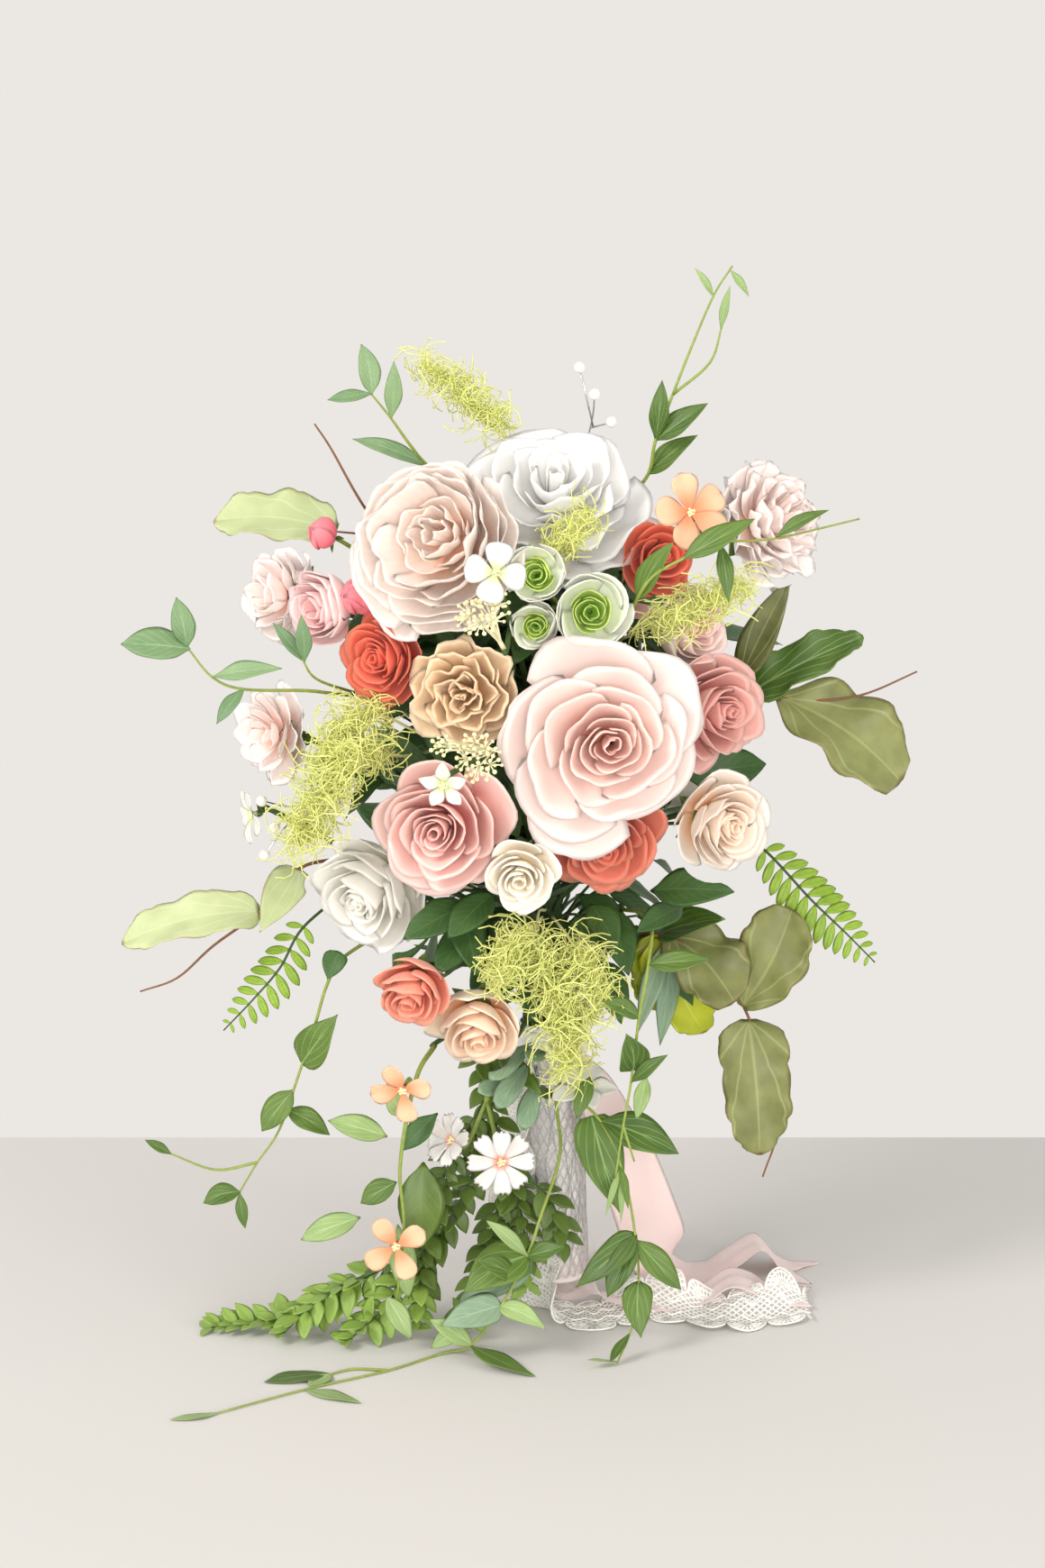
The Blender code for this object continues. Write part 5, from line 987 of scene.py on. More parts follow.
clusters = {
    "ranunculus_green": {"slot": "lime", "stem": [(2, -74, 402)],
        "flowers": ["ranunculus_green_a", "ranunculus_green_b", "ranunculus_green_c"]},
    "buds_pink": {"slot": "pink", "stem": [(-96, -36, 420)], "flowers": ["bud_pink_top", "bud_pink_side"]},
    "cosmos_white": {"slot": "white", "stem": [(-36, -62, 128)], "flowers": ["cosmos_front", "cosmos_side"]},
    "orchid_peach": {"slot": "apricot",
        "stem": [(-64, -66, 160), (-72, -88, 152), (-78, -98, 130), (-82, -102, 100), (-80, -104, 70),
            (-84, -106, 30)], "flowers": ["orchid_peach_low", "orchid_peach_base"]},
}
eyeBeads = []


def flowerInto(cloud, heartCloud, name):
    if name in blooms:
        bloomMesh(cloud, heartCloud, name)
    else:
        flatFlower(cloud, eyeBeads, name)
    addSepals(name)


def finishOf(name):
    return petalFinishes[blooms[name][4] if name in blooms else florets[name][7]]


for name, slotName in singles.items():
    cloud = newCloud()
    flowerInto(cloud, cloud, name)
    ridesAs(makePiece(name + "_petals", cloud, finishOf(name)), slotName, name)

stalkCloud = newCloud()
clusterLines = {}
for name, look in clusters.items():
    cloud, heartCloud = newCloud(), newCloud()
    stem = [np.array(p, float) for p in look["stem"]]
    if len(stem) > 1:
        addTube(stalkCloud, smoothLine(stem, 6), np.linspace(1.5, 0.7, 6 * (len(stem) - 1) + 1), 7, 0.4)
    for flower in look["flowers"]:
        flowerInto(cloud, heartCloud, flower)
        base, axis = bloomBase(flower)
        start = nearStem(base, [stem]) if len(stem) > 1 else stem[0]
        addTube(stalkCloud, smoothLine([start, base - axis * 7, base + axis * 1.5], 5), 1.2, 7, 0.4)
    if len(stem) == 1:
        middle = sum(bloomBase(f)[0] for f in look["flowers"]) / len(look["flowers"])
        stem = [stem[0] - unit(middle - stem[0]) * 6, stem[0] + unit(middle - stem[0]) * 2]
        addTube(stalkCloud, stem, [1.6, 1.5], 7, 0.4)
    clusterLines[name] = stem
    ridesAs(makePiece(name + "_petals", cloud, finishOf(look["flowers"][0])), look["slot"], name)
    if heartCloud["size"]:
        ridesAs(makePiece(name + "_hearts", heartCloud, petalFinishes["limeHeart"]), look["slot"])
eyes = growPiece("flower_eyes", beadsOnPoints, eyeBeads, Radius=0.0009, Vary=0.3, Rounds=2, Seed=4,
                 Finish=berryCream)
ridesAs(eyes, "berry")
print("flowers made:", len(singles) + len(clusters))


# foliage: finish, stems from the root, and leaves as base, tip, width, outline
sprays = {
    "vine_left_upper": {"finish": "sage", "slot": "leaf_pale",
        "stems": [[(-62, -12, 352), (-103, -50, 350), (-130, -74, 356), (-162, -88, 359), (-178, -92, 366),
            (-191, -92, 382)], [(-103, -50, 350), (-124, -86, 364), (-131, -95, 376)]],
            "leaves": [((-191, -92, 380), (-225, -95, 384), 21, "oval"),
            ((-191, -92, 383), (-196, -92, 408), 13, "oval"),
            ((-178, -92, 366), (-141, -100, 372), 12, "narrow"),
            ((-131, -95, 373), (-131, -99, 400), 9, "narrow"),
            ((-131, -95, 373), (-146, -94, 395), 8, "narrow"),
            ((-162, -88, 359), (-176, -96, 342), 9, "narrow")]},
    "vine_top_left": {"finish": "sage", "slot": "leaf_pale",
        "stems": [[(-36, -2, 442), (-66, -26, 469), (-76, -38, 482), (-86, -45, 497), (-96, -50, 510)]],
        "leaves": [((-96, -50, 510), (-101, -50, 536), 12, "oval"),
            ((-96, -50, 510), (-119, -52, 507), 9, "narrow"),
            ((-86, -45, 497), (-84, -50, 527), 10, "narrow"),
            ((-66, -26, 469), (-108, -18, 484), 11, "narrow")]},
    "tendril_top": {"finish": "fresh", "slot": "leaf_pale",
        "stems": [[(26, 4, 428), (40, -14, 450), (48, -32, 466), (54, -42, 485), (63, -40, 509),
            (72, -38, 532), (84, -35, 560), (94, -35, 576)],
            [(63, -40, 509), (82, -46, 526), (88, -48, 545)]],
            "leaves": [((54, -42, 485), (57, -47, 517), 11, "narrow"),
            ((54, -42, 485), (81, -48, 505), 14, "oval"), ((48, -32, 466), (76, -44, 488), 14, "oval"),
            ((84, -35, 560), (74, -38, 575), 5, "narrow", "young"),
            ((94, -35, 573), (103, -35, 560), 5, "narrow", "young"),
            ((88, -48, 543), (92, -48, 566), 5, "narrow", "young")]},
    "vine_right_mid": {"finish": "fresh", "slot": "leaf_pale",
        "stems": [[(22, -24, 350), (34, -60, 378), (42, -106, 408), (50, -117, 422), (64, -121, 431),
            (84, -116, 439), (113, -105, 440), (157, -95, 449)]],
            "leaves": [((42, -106, 408), (60, -120, 440), 13, "oval"),
            ((64, -120, 433), (101, -122, 452), 14, "oval"), ((84, -116, 439), (88, -126, 410), 9, "narrow"),
            ((113, -105, 440), (140, -108, 455), 8, "narrow")]},
    "vine_right_hang": {"finish": "fresh", "slot": "leaf",
        "stems": [[(38, -24, 226), (52, -70, 232), (50, -100, 214), (45, -105, 186), (41, -105, 151),
            (37, -106, 127), (33, -106, 98)], [(37, -106, 127), (43, -108, 108)]],
            "leaves": [((45, -105, 186), (26, -108, 196), 11, "oval"),
            ((41, -105, 158), (38, -114, 180), 18, "heart"), ((50, -100, 214), (82, -108, 219), 13, "oval"),
            ((41, -105, 151), (60, -112, 168), 9, "narrow")]},
    "vine_left_low": {"finish": "fresh", "slot": "leaf",
        "stems": [[(-50, 6, 204), (-86, -16, 212), (-114, -44, 204), (-122, -65, 194), (-129, -68, 171),
            (-139, -70, 141), (-149, -70, 113), (-161, -70, 95), (-171, -70, 78)],
            [(-161, -70, 95), (-184, -70, 91), (-208, -70, 100)]],
            "leaves": [((-131, -70, 150), (-116, -76, 180), 22, "heart"),
            ((-139, -70, 135), (-158, -74, 114), 16, "oval"),
            ((-139, -70, 123), (-121, -74, 112), 13, "oval"), ((-171, -70, 78), (-191, -70, 72), 13, "oval"),
            ((-171, -70, 78), (-168, -72, 58), 7, "narrow"),
            ((-208, -70, 100), (-222, -70, 108), 6, "narrow")]},
    "grape_left_up": {"finish": "paleGreen", "slot": "leaf_pale",
        "stems": [[(-54, 14, 416), (-92, 6, 428), (-121, 2, 432)],
            [(-92, 6, 428), (-106, -8, 452), (-120, -10, 478), (-129, -6, 491)]],
            "leaves": [((-119, 2, 431), (-186, 8, 437), 34, "lobed")], "twig": True},
    "grape_left_low": {"finish": "paleGreen", "slot": "leaf_olive",
        "stems": [[(-52, 2, 262), (-112, -18, 254), (-138, -38, 252), (-156, -50, 233), (-184, -55, 213),
            (-204, -55, 195), (-225, -50, 186)]],
            "leaves": [((-160, -50, 231), (-233, -62, 216), 28, "lobed"),
            ((-138, -40, 252), (-157, -78, 226), 25, "heart")], "twig": True},
    "grape_right_mid": {"finish": "olive", "slot": "leaf_olive",
        "stems": [[(58, 2, 350), (100, -18, 348), (124, -18, 343), (150, -20, 342), (172, -20, 346),
            (199, -15, 357)]], "leaves": [((124, -15, 338), (190, -28, 298), 52, "fan"),
            ((112, -20, 360), (168, -26, 378), 28, "lobed", "fresh"),
            ((98, -25, 370), (128, -26, 410), 20, "oval")], "twig": True},
    "grape_right_low": {"finish": "olive", "slot": "leaf_olive",
        "stems": [[(40, -6, 206), (64, -38, 214), (86, -48, 200), (104, -50, 178), (117, -52, 141),
            (124, -52, 110), (116, -52, 81)]],
            "leaves": [((70, -44, 240), (98, -66, 184), 44, "fan"),
            ((104, -50, 178), (130, -50, 232), 42, "fan"), ((108, -50, 170), (113, -66, 98), 40, "lobed"),
            ((50, -34, 232), (84, -34, 158), 38, "lobed", "limeSheer"),
            ((52, -36, 222), (56, -38, 172), 26, "lobed", "limeSheer"),
            ((64, -44, 222), (58, -66, 160), 14, "narrow", "dusk"),
            ((50, -60, 228), (46, -68, 168), 13, "narrow", "dusk"),
            ((40, -40, 222), (92, -72, 232), 22, "oval", "fresh")], "twig": True},
    "clematis": {"finish": "fresh", "slot": "leaf",
        "stems": [[(8, -20, 184), (12, -52, 172), (13, -56, 156), (9, -62, 134), (4, -74, 102), (-6, -94, 75),
            (-14, -105, 54), (-28, -116, 30), (-44, -116, 8), (-58, -109, 0.9), (-88, -134, 0.9),
            (-130, -160, 0.9), (-172, -191, 0.9)],
            [(9, -62, 134), (26, -76, 120), (38, -88, 94), (44, -96, 64), (46, -102, 38), (42, -112, 16),
             (34, -124, 0.9)], [(-88, -134, 0.9), (-106, -132, 0.9), (-118, -139, 0.9)]],
             "leaves": [((26, -76, 122), (68, -82, 104), 22, "oval"),
            ((9, -62, 134), (-16, -70, 133), 8, "narrow"), ((14, -74, 118), (36, -92, 74), 26, "heart"),
            ((-14, -105, 54), (-48, -118, 38), 26, "heart"), ((44, -96, 63), (12, -104, 36), 17, "heart"),
            ((44, -96, 63), (29, -108, 32), 15, "oval"), ((46, -102, 38), (47, -116, 12), 17, "heart"),
            ((44, -96, 60), (69, -102, 34), 15, "oval"), ((-14, -105, 54), (6, -112, 62), 12, "oval"),
            ((-118, -139, 0.9), (-152, -150, 0.9), 17, "oval"),
            ((-28, -116, 30), (-60, -124, 22), 20, "heart", "dusk"),
            ((-20, -110, 44), (-40, -122, 58), 13, "oval"), ((34, -110, 14), (30, -128, 3), 7, "narrow"),
            ((33, -96, 102), (40, -104, 80), 5, "narrow"), ((-44, -116, 6), (-10, -142, 0.9), 15, "oval"),
            ((-130, -160, 0.9), (-100, -178, 0.9), 11, "oval", "young"),
            ((-172, -191, 0.9), (-196, -200, 0.9), 8, "narrow", "young"),
            ((-28, -116, 30), (-4, -124, 20), 12, "heart", "young"),
            ((-14, -105, 54), (-36, -110, 76), 9, "narrow", "young"),
            ((-44, -116, 8), (-66, -120, 24), 12, "oval", "young"),
            ((-118, -139, 0.9), (-128, -156, 0.9), 12, "oval", "young"),
            ((33, -96, 100), (28, -108, 78), 4, "narrow", "young"),
            ((33, -96, 100), (36, -108, 74), 4, "narrow", "young"),
            ((34, -124, 2), (18, -132, 6), 6, "narrow", "young")]},
}
# single leaves near the front: base, tip, width, outline, finish
loners = [((-89, -90, 116), (-121, -92, 126), 15, "oval", "young"),
          ((-104, -88, 70), (-137, -90, 58), 15, "oval", "young"),
          ((-84, -94, 92), (-104, -94, 80), 14, "oval", "fresh"),
          ((-70, -84, 100), (-72, -92, 52), 26, "oval", "glossy"),
          ((-84, -88, 66), (-78, -96, 26), 15, "oval", "young"),
          ((-62, -86, 128), (-82, -90, 108), 14, "narrow", "roseLeaf"),
          ((-80, -104, 130), (-84, -108, 152), 6, "narrow", "young"),
          ((-12, -100, 52), (-52, -102, 26), 24, "heart", "dusk"),
          ((-90, -100, 30), (-76, -108, 8), 12, "oval", "young"),
          ((-48, -106, 14), (-66, -110, 4), 10, "oval", "young"),
          ((-116, -56, 210), (-122, -64, 196), 14, "heart", "roseLeaf"),
          ((-30, -50, 150), (-6, -84, 138), 12, "oval", "glossy"),
          ((-10, -60, 160), (-34, -96, 150), 13, "rounded", "dusk"),
          ((-12, -62, 150), (-30, -96, 134), 13, "rounded", "dusk"),
          ((-8, -62, 142), (-16, -96, 122), 12, "rounded", "dusk"),
          ((-6, -62, 156), (-12, -96, 160), 12, "rounded", "dusk"),
          ((-20, -62, 136), (-40, -92, 142), 11, "rounded", "dusk"),
          ((20, -84, 148), (12, -96, 128), 10, "oval", "fresh"),
          ((50, -92, 150), (44, -104, 130), 9, "oval", "young"),
          ((70, -60, 236), (44, -92, 230), 16, "oval", "roseLeaf"),
          ((-40, -60, 226), (-64, -92, 206), 20, "oval", "roseLeaf"),
          ((-50, -60, 236), (-40, -94, 206), 20, "oval", "roseLeaf"),
          ((-24, -56, 226), (-28, -90, 204), 18, "oval", "roseLeaf"),
          ((30, -60, 236), (40, -92, 206), 20, "oval", "roseLeaf"),
          ((-66, -50, 232), (-86, -80, 206), 18, "oval", "roseLeaf"),
          ((-18, -50, 206), (-36, -78, 182), 16, "oval", "roseLeaf"),
          ((-44, -70, 240), (-80, -92, 226), 22, "oval", "roseLeaf"),
          ((-32, -72, 246), (-56, -98, 228), 20, "oval", "roseLeaf"),
          ((52, -66, 246), (96, -84, 250), 24, "oval", "roseLeaf"),
          ((20, -70, 240), (34, -96, 222), 18, "oval", "roseLeaf")]
plugs = []  # where each spray joins the stems: node, point, direction, thickness


def plugAt(name, line, thick=1.4):
    start = np.array(line[0], float)
    ahead = unit(np.array(line[1], float) - start)
    plugs.append((name, start - ahead * 0.3, ahead, thick))


def growSpray(name, look):
    lines = [pushedLine(line) for line in look["stems"]]
    for n, line in enumerate(lines[1:], 1):
        line[0] = nearStem(line[0], lines[:n])
    stemCloud = newCloud()
    for n, line in enumerate(lines):
        fine = smoothLine(line, 6)
        fine[:, 2] = np.maximum(fine[:, 2], 0.7)
        addTube(stemCloud, fine, np.linspace(1.2 if n == 0 else 0.9, 0.5, len(fine)), 7, 0.6)
    leafClouds = {look["finish"]: newCloud()}
    rng = np.random.default_rng(sum(map(ord, name)))
    for base, tip, width, shape, *own in look["leaves"]:
        leafCloud = leafClouds.setdefault(own[0] if own else look["finish"], newCloud())
        tip = np.array(tip, float)
        root = nearStem(base, lines)
        root = root - unit(tip - root) * 0.8
        lying, big = tip[2] <= 6, shape in ("lobed", "fan")
        up = np.array((0.0, 0.0, 1.0)) if lying else np.array((0.0, -0.75, 0.65))
        bend, fold = (0.0, 0.05) if lying else (0.5, 0.28 if big else 0.22)
        ripple, ripples, rows, cols = (0.09, 2.4, 27, 15) if big else (0.04, 1.3, 17, 9)
        length = np.linalg.norm(tip - root)
        ahead = unit(tip - root)
        upper = np.cross(unit(np.cross(ahead, up)), ahead)
        addBlade(leafCloud, root, ahead + upper * math.sin(bend / 2), upper, length * 1.01, width, shape,
                 bend,
                 fold, ripple * width, ripples, 0.4, rows, cols, rng.uniform(0.2, 0.7),
                 skew=rng.uniform(-0.12, 0.12) * width)
    return stemCloud, leafClouds, lines


for name, look in sprays.items():
    stemCloud, leafClouds, lines = growSpray(name, look)
    plugAt(name, look["stems"][0])
    for number, (finish, leafCloud) in enumerate(leafClouds.items()):
        piece = makePiece(name + "_leaves_" + finish, leafCloud, leafFinishes[finish])
        ridesAs(piece, look["slot"], *([name] if number == 0 else []))
    ridesAs(makePiece(name + "_stems", stemCloud, twigBrown if look.get("twig") else stemGreen), look["slot"])


lonerClouds, frontUp = {}, np.array((0.0, -0.8, 0.6))
for base, tip, width, shape, finish in loners:
    base, tip = np.array(base, float), np.array(tip, float)
    ahead = unit(tip - base)
    upper = unit(frontUp - ahead * (ahead @ frontUp))
    addBlade(lonerClouds.setdefault(finish, newCloud()), base, ahead + 0.2 * upper, upper,
             np.linalg.norm(tip - base), width, shape, 0.45, 0.22, 0.04 * width, 1.3, 0.4, 13, 9, 0.5)
for finish, cloud in lonerClouds.items():
    ridesAs(makePiece("front_leaves_" + finish, cloud, leafFinishes[finish]), "leaf")


# fern fronds: rib and leaflet length
fronds = {
    "fern_left": {"slot": "leaf",
        "rib": [(-50, 6, 240), (-96, -2, 240), (-134, -34, 221), (-149, -45, 198), (-164, -50, 181),
            (-180, -50, 164)], "leaflet": 16, "pairs": 10},
    "fern_right": {"slot": "leaf_pale",
        "rib": [(54, 4, 268), (92, -6, 270), (114, -28, 262), (141, -40, 235), (160, -43, 217),
            (176, -45, 201)], "leaflet": 19, "pairs": 13},
}


def leafPattern(name, finish, outline, width, bend, rows=9, cols=5):
    # one leaf of length 1 mm along +Y for the leaf tree
    cloud = newCloud()
    addBlade(cloud, (0, 0, 0), (0, 1, 0), (0, 0, 1), 1.0, width, outline, bend, 0.2, 0.0,
             thick=0.04, rows=rows, cols=cols, tone=0.5, clear=False)
    return makePiece(name, cloud, finish)


leaflet = leafPattern("leafletPattern", leafFinishes["fern"], "short", 0.36, 0.35)
for name, look in fronds.items():
    rib = smoothLine(pushedLine(look["rib"]), 8)
    spans = lengthsAlong(rib)
    bare = spans[16]
    upper = unit((0.0, -0.85, 0.5))
    spots, ways, ups, sizes = [], [], [], []
    for n in range(look["pairs"] * 2):
        share = (n // 2 + 0.5) / look["pairs"]
        at = bare + share * (spans[-1] - bare - 2)
        here = pointAt(rib, spans, at)
        ahead = unit(pointAt(rib, spans, at + 3) - here + 1e-6)
        side = unit(np.cross(ahead, upper)) * (1 if n % 2 else -1)
        spots.append(here)
        ways.append(unit(side + 0.45 * ahead - 0.12 * upper))
        ups.append(upper)
        sizes.append(look["leaflet"] * math.sin(math.pi * (0.20 + 0.72 * share)))
    piece = growPiece(name + "_leaflets", leavesOnPoints, spots, (),
                      {"ahead": ways, "upward": ups, "span": sizes},
                      Leaf=leaflet, Size=1.0, Finish=leafFinishes["fern"])
    ridesAs(piece, look["slot"], name)
    cloud = newCloud()
    addTube(cloud, rib, np.linspace(1.1, 0.4, len(rib)), 7, 0.2)
    ridesAs(makePiece(name + "_rib", cloud, stemDark), look["slot"])
    plugAt(name, look["rib"])
bpy.data.objects.remove(leaflet)


# moss: strands in the frame, then loose ones tucked between the blooms
strands = {
    "moss_left": {"core": [(-46, -20, 318), (-82, -58, 318), (-102, -92, 328), (-113, -104, 317),
        (-124, -105, 299), (-134, -100, 280)], "from": 0.30, "filaments": 900, "reach": 17, "node": True},
    "moss_low": {"core": [(-4, -26, 226), (-8, -60, 232), (-9, -96, 222), (-2, -99, 204), (6, -97, 180),
        (6, -95, 154)], "from": 0.35, "filaments": 800, "reach": 17, "node": True},
    "moss_top": {"core": [(-20, 0, 470), (-26, -20, 487), (-41, -10, 501), (-56, 0, 513), (-70, 5, 522)],
        "from": 0.2, "filaments": 420, "reach": 13},
    "moss_right": {"core": [(36, -50, 380), (58, -95, 396), (76, -100, 406), (100, -100, 415)], "from": 0.25,
        "filaments": 420, "reach": 14},
    "moss_mid": {"core": [(-7, -70, 425), (11, -95, 442), (16, -98, 454)], "from": 0.2, "filaments": 240,
        "reach": 12},
    "moss_left_top": {"core": [(-70, -60, 330), (-96, -84, 346), (-112, -92, 336), (-122, -90, 318)],
        "from": 0.3, "filaments": 420, "reach": 14},
    "moss_low_left": {"core": [(-6, -60, 230), (-18, -98, 226), (-26, -106, 216), (-28, -106, 204)],
        "from": 0.3, "filaments": 380, "reach": 14},
    "moss_low_right": {"core": [(0, -60, 230), (12, -98, 222), (22, -100, 200), (20, -98, 184)], "from": 0.3,
        "filaments": 380, "reach": 14},
}
# each strand has loose curls and tighter coils: reach as a share, turns, coil, thickness and seed
mossKinds = {"_curls": (1.25, 0.62, 0.0105, 0.0004, 0), "_coils": (0.8, 1.0, 0.007, 0.0003, 20)}
for number, (name, look) in enumerate(strands.items()):
    fine = smoothLine(pushedLine(look["core"]), 8)
    bushy = fine[int(look["from"] * (len(fine) - 1)):]
    links = [(i, i + 1) for i in range(len(bushy) - 1)]
    grown = []
    for part, (far, turns, coil, thickness, seed) in mossKinds.items():
        grown.append(growPiece(name + part, mossFilaments, bushy, links, None,
                               Filaments=look["filaments"] * 2 // 5, Reach=far * look["reach"] * mm,
                               Turns=turns,
                               Coil=coil, Thickness=thickness, Seed=number + seed, Finish=mossGreen))
    cloud = newCloud()
    addTube(cloud, fine, np.linspace(0.9, 0.4, len(fine)), 5, 0.6)
    ridesAs(makePiece(name + "_core", cloud, mossGreen), "moss")
    if look.get("node"):
        plugAt(name, look["core"])
    ridesAs(grown[0], "moss", *([name] if look.get("node") else []))
    ridesAs(grown[1], "moss")
print("sprays, ferns and moss made")


# boxwood: branches with small glossy leaves in pairs
boxwood = {
    "branches": [[(-28, -12, 178), (-38, -34, 152), (-34, -46, 120), (-24, -56, 88), (-16, -64, 58),
        (-14, -72, 26)], [(-34, -48, 116), (-46, -62, 80), (-66, -72, 52), (-105, -76, 30), (-146, -72, 6),
            (-188, -72, 0.9)], [(-66, -72, 52), (-88, -84, 22), (-112, -94, 0.9)],
            [(-24, -58, 88), (-36, -68, 46), (-46, -76, 14), (-52, -90, 0.9)],
            [(-36, -44, 126), (-52, -60, 100), (-66, -74, 70), (-72, -84, 34), (-74, -92, 8)],
            [(-22, -58, 82), (-12, -66, 84), (0, -66, 70), (6, -66, 48)],
            [(-96, -76, 36), (-124, -84, 24), (-148, -88, 3)]],
    "bare": [30, 12, 8, 8, 10, 10, 6], "pitch": 4.6, "leaf": (12, 20), "width": 0.52, "bright": 38.0}
boxwoodLines = [pushedLine(line) for line in boxwood["branches"]]
for n, line in enumerate(boxwoodLines[1:], 1):
    line[0] = nearStem(line[0], boxwoodLines[:n])
plugAt("boxwood_cascade", boxwoodLines[0])
rng = np.random.default_rng(7)
cloud = newCloud()
leafSets = {"glossy": ([], [], [], []), "glossyBright": ([], [], [], [])}
for n, line in enumerate(boxwoodLines):
    fine = smoothLine(line, 6)
    fine[:, 2] = np.maximum(fine[:, 2], 1.0)
    addTube(cloud, fine, np.linspace(1.1, 0.5, len(fine)), 7, 0.4)
    spans = lengthsAlong(fine)
    total = int((spans[-1] - boxwood["bare"][n]) / boxwood["pitch"])
    for k in range(total * 2):
        at = spans[-1] - boxwood["pitch"] * (k // 2) - 1
        here = pointAt(fine, spans, at)
        ahead = unit(here - pointAt(fine, spans, at - 4))
        side, other = axesAbout(ahead)
        turn = (k // 2) * 1.45 + (math.pi if k % 2 else 0) + rng.uniform(-0.3, 0.3)
        out = spoke(turn, side, other)
        way = unit(ahead * rng.uniform(0.5, 0.9) + out + np.array((0, -0.25, 0)))
        if here[2] < 12:
            way = unit((way[0], way[1], max(0.10, abs(way[2]) * 0.6)))
        low = here[2] + rng.uniform(-8, 8) < boxwood["bright"]  # lower leaves are lighter
        spots, ways, ups, sizes = leafSets["glossyBright" if low else "glossy"]
        spots.append(here)
        ways.append(way)
        ups.append(unit(np.array((0, -0.35, 0.9)) + ahead * 0.3))
        sizes.append(rng.uniform(*boxwood["leaf"]) * (0.75 if k < 4 else 1.0))
boxLeaf = leafPattern("boxLeafPattern", leafFinishes["glossy"], "oval", boxwood["width"], 0.3, 11, 7)
for finish, (spots, ways, ups, sizes) in leafSets.items():
    piece = growPiece("boxwood_leaves_" + finish, leavesOnPoints, spots, (),
                      {"ahead": ways, "upward": ups, "span": sizes},
                      Leaf=boxLeaf, Size=1.0, Finish=leafFinishes[finish])
    ridesAs(piece, "leaf_dark", *(["boxwood_cascade"] if finish == "glossy" else []))
bpy.data.objects.remove(boxLeaf)
ridesAs(makePiece("boxwood_branches", cloud, stemDark), "leaf_dark")


# berries on thin stalks: root, centre, width and count
umbels = {
    "berries_front": [((-28, -122, 389), (-38, -142, 410), 30, 60)],
    "berries_left": [((-31, -112, 331), (-40, -150, 334), 26, 50),
        ((-31, -112, 331), (-59, -153, 341), 12, 14)],
}
for name, groups in umbels.items():
    cloud, beads = newCloud(), []
    root = np.array(groups[0][0], float)
    for _, centre, width, count in groups:
        centre = np.array(centre, float)
        ahead = unit(centre - root)
        side, other = axesAbout(ahead)
        forks = []
        for n in range(7 if count > 12 else 3):
            far = width / 2 * 0.6 * math.sqrt((n + 0.3) / 7)
            fork = centre - ahead * 7 + far * spoke(beadTurn * n, side, other)
            forks.append(keepClear(fork, 3.0))
            addTube(cloud, smoothLine([root - ahead * 2, (root + fork) / 2, forks[-1]], 3),
                    [0.7, 0.6, 0.6, 0.5, 0.5, 0.45, 0.45], 5, 0.8)
        for n in range(count):
            far = width / 2 * math.sqrt((n + 0.3) / count)
            spot = centre + far * spoke(beadTurn * n, side, other) - ahead * (far * 0.25 + 3.0 * (n % 3) / 2)
            spot = keepClear(spot, 3.6)
            nearest = min(forks, key=lambda f: np.linalg.norm(f - spot))
            addTube(cloud, [nearest, (nearest + spot) / 2 + ahead * 0.6, spot], [0.42, 0.36, 0.34], 4, 0.9)
            beads.append(spot)
    ahead = unit(np.array(groups[0][1], float) - root)
    addTube(cloud, [root - ahead * 6, root + ahead * 2], [1.4, 1.2], 7, 0.5)
    plugAt(name, [root - ahead * 6, root])
    piece = growPiece(name + "_berries", beadsOnPoints, beads, Radius=0.0013, Vary=0.3, Rounds=2, Seed=2,
                      Finish=berryCream)
    ridesAs(piece, "berry", name)
    ridesAs(makePiece(name + "_stalks", cloud, berryCream), "berry")


# pearls on silver wire

def pearlFinish():
    made, shader, *_, place = startFinish(
        "pearlGloss", 0.22, **{"Coat Weight": 0.5, "Coat Roughness": 0.12, "Sheen Weight": 0.2})
    lustre = blendColour(noiseAt(place, 220.0), linear((0.93, 0.90, 0.87)), linear((0.99, 0.96, 0.92)))
    plugIn(shader.inputs["Base Color"], lustre)
    return made


def wireFinish():
    made, shader, *_, place = startFinish("silverWire", Metallic=1.0)
    fine = noiseAt(place, 900.0)
    silver = blendColour(fine, linear((0.72, 0.72, 0.74)), linear((0.92, 0.92, 0.93)))
    plugIn(shader.inputs["Base Color"], silver)
    plugIn(shader.inputs["Roughness"], fine * 0.2 + 0.22)
    return made


pearlGloss, silverWire = pearlFinish(), wireFinish()
pearls = {
    "pearls_left": [[(-96, -4, 292), (-138, -24, 284), (-158, -46, 291)],
        [(-138, -24, 284), (-150, -54, 278)], [(-138, -24, 284), (-156, -50, 262)]],
    "pearls_top": [[(12, 0, 456), (18, -14, 488), (22, -24, 508)], [(18, -14, 488), (30, -26, 492)],
        [(18, -14, 488), (14, -18, 522)]],
}
for name, wires in pearls.items():
    lines = [pushedLine(line) for line in wires]
    for n, line in enumerate(lines[1:], 1):
        line[0] = nearStem(line[0], lines[:n])
    cloud, beads = newCloud(), []
    for line in lines:
        addTube(cloud, smoothLine(line, 6) if len(line) > 2 else line, 0.5, 6)
        beads.append(line[-1])
    plugAt(name, lines[0], 1.0)
    piece = growPiece(name + "_beads", beadsOnPoints, beads, Radius=0.0032, Vary=0.12, Rounds=4, Seed=6,
                      Finish=pearlGloss)
    ridesAs(piece, "pearl", name)
    ridesAs(makePiece(name + "_wire", cloud, silverWire), "pearl")
print("boxwood, berries and pearls made")


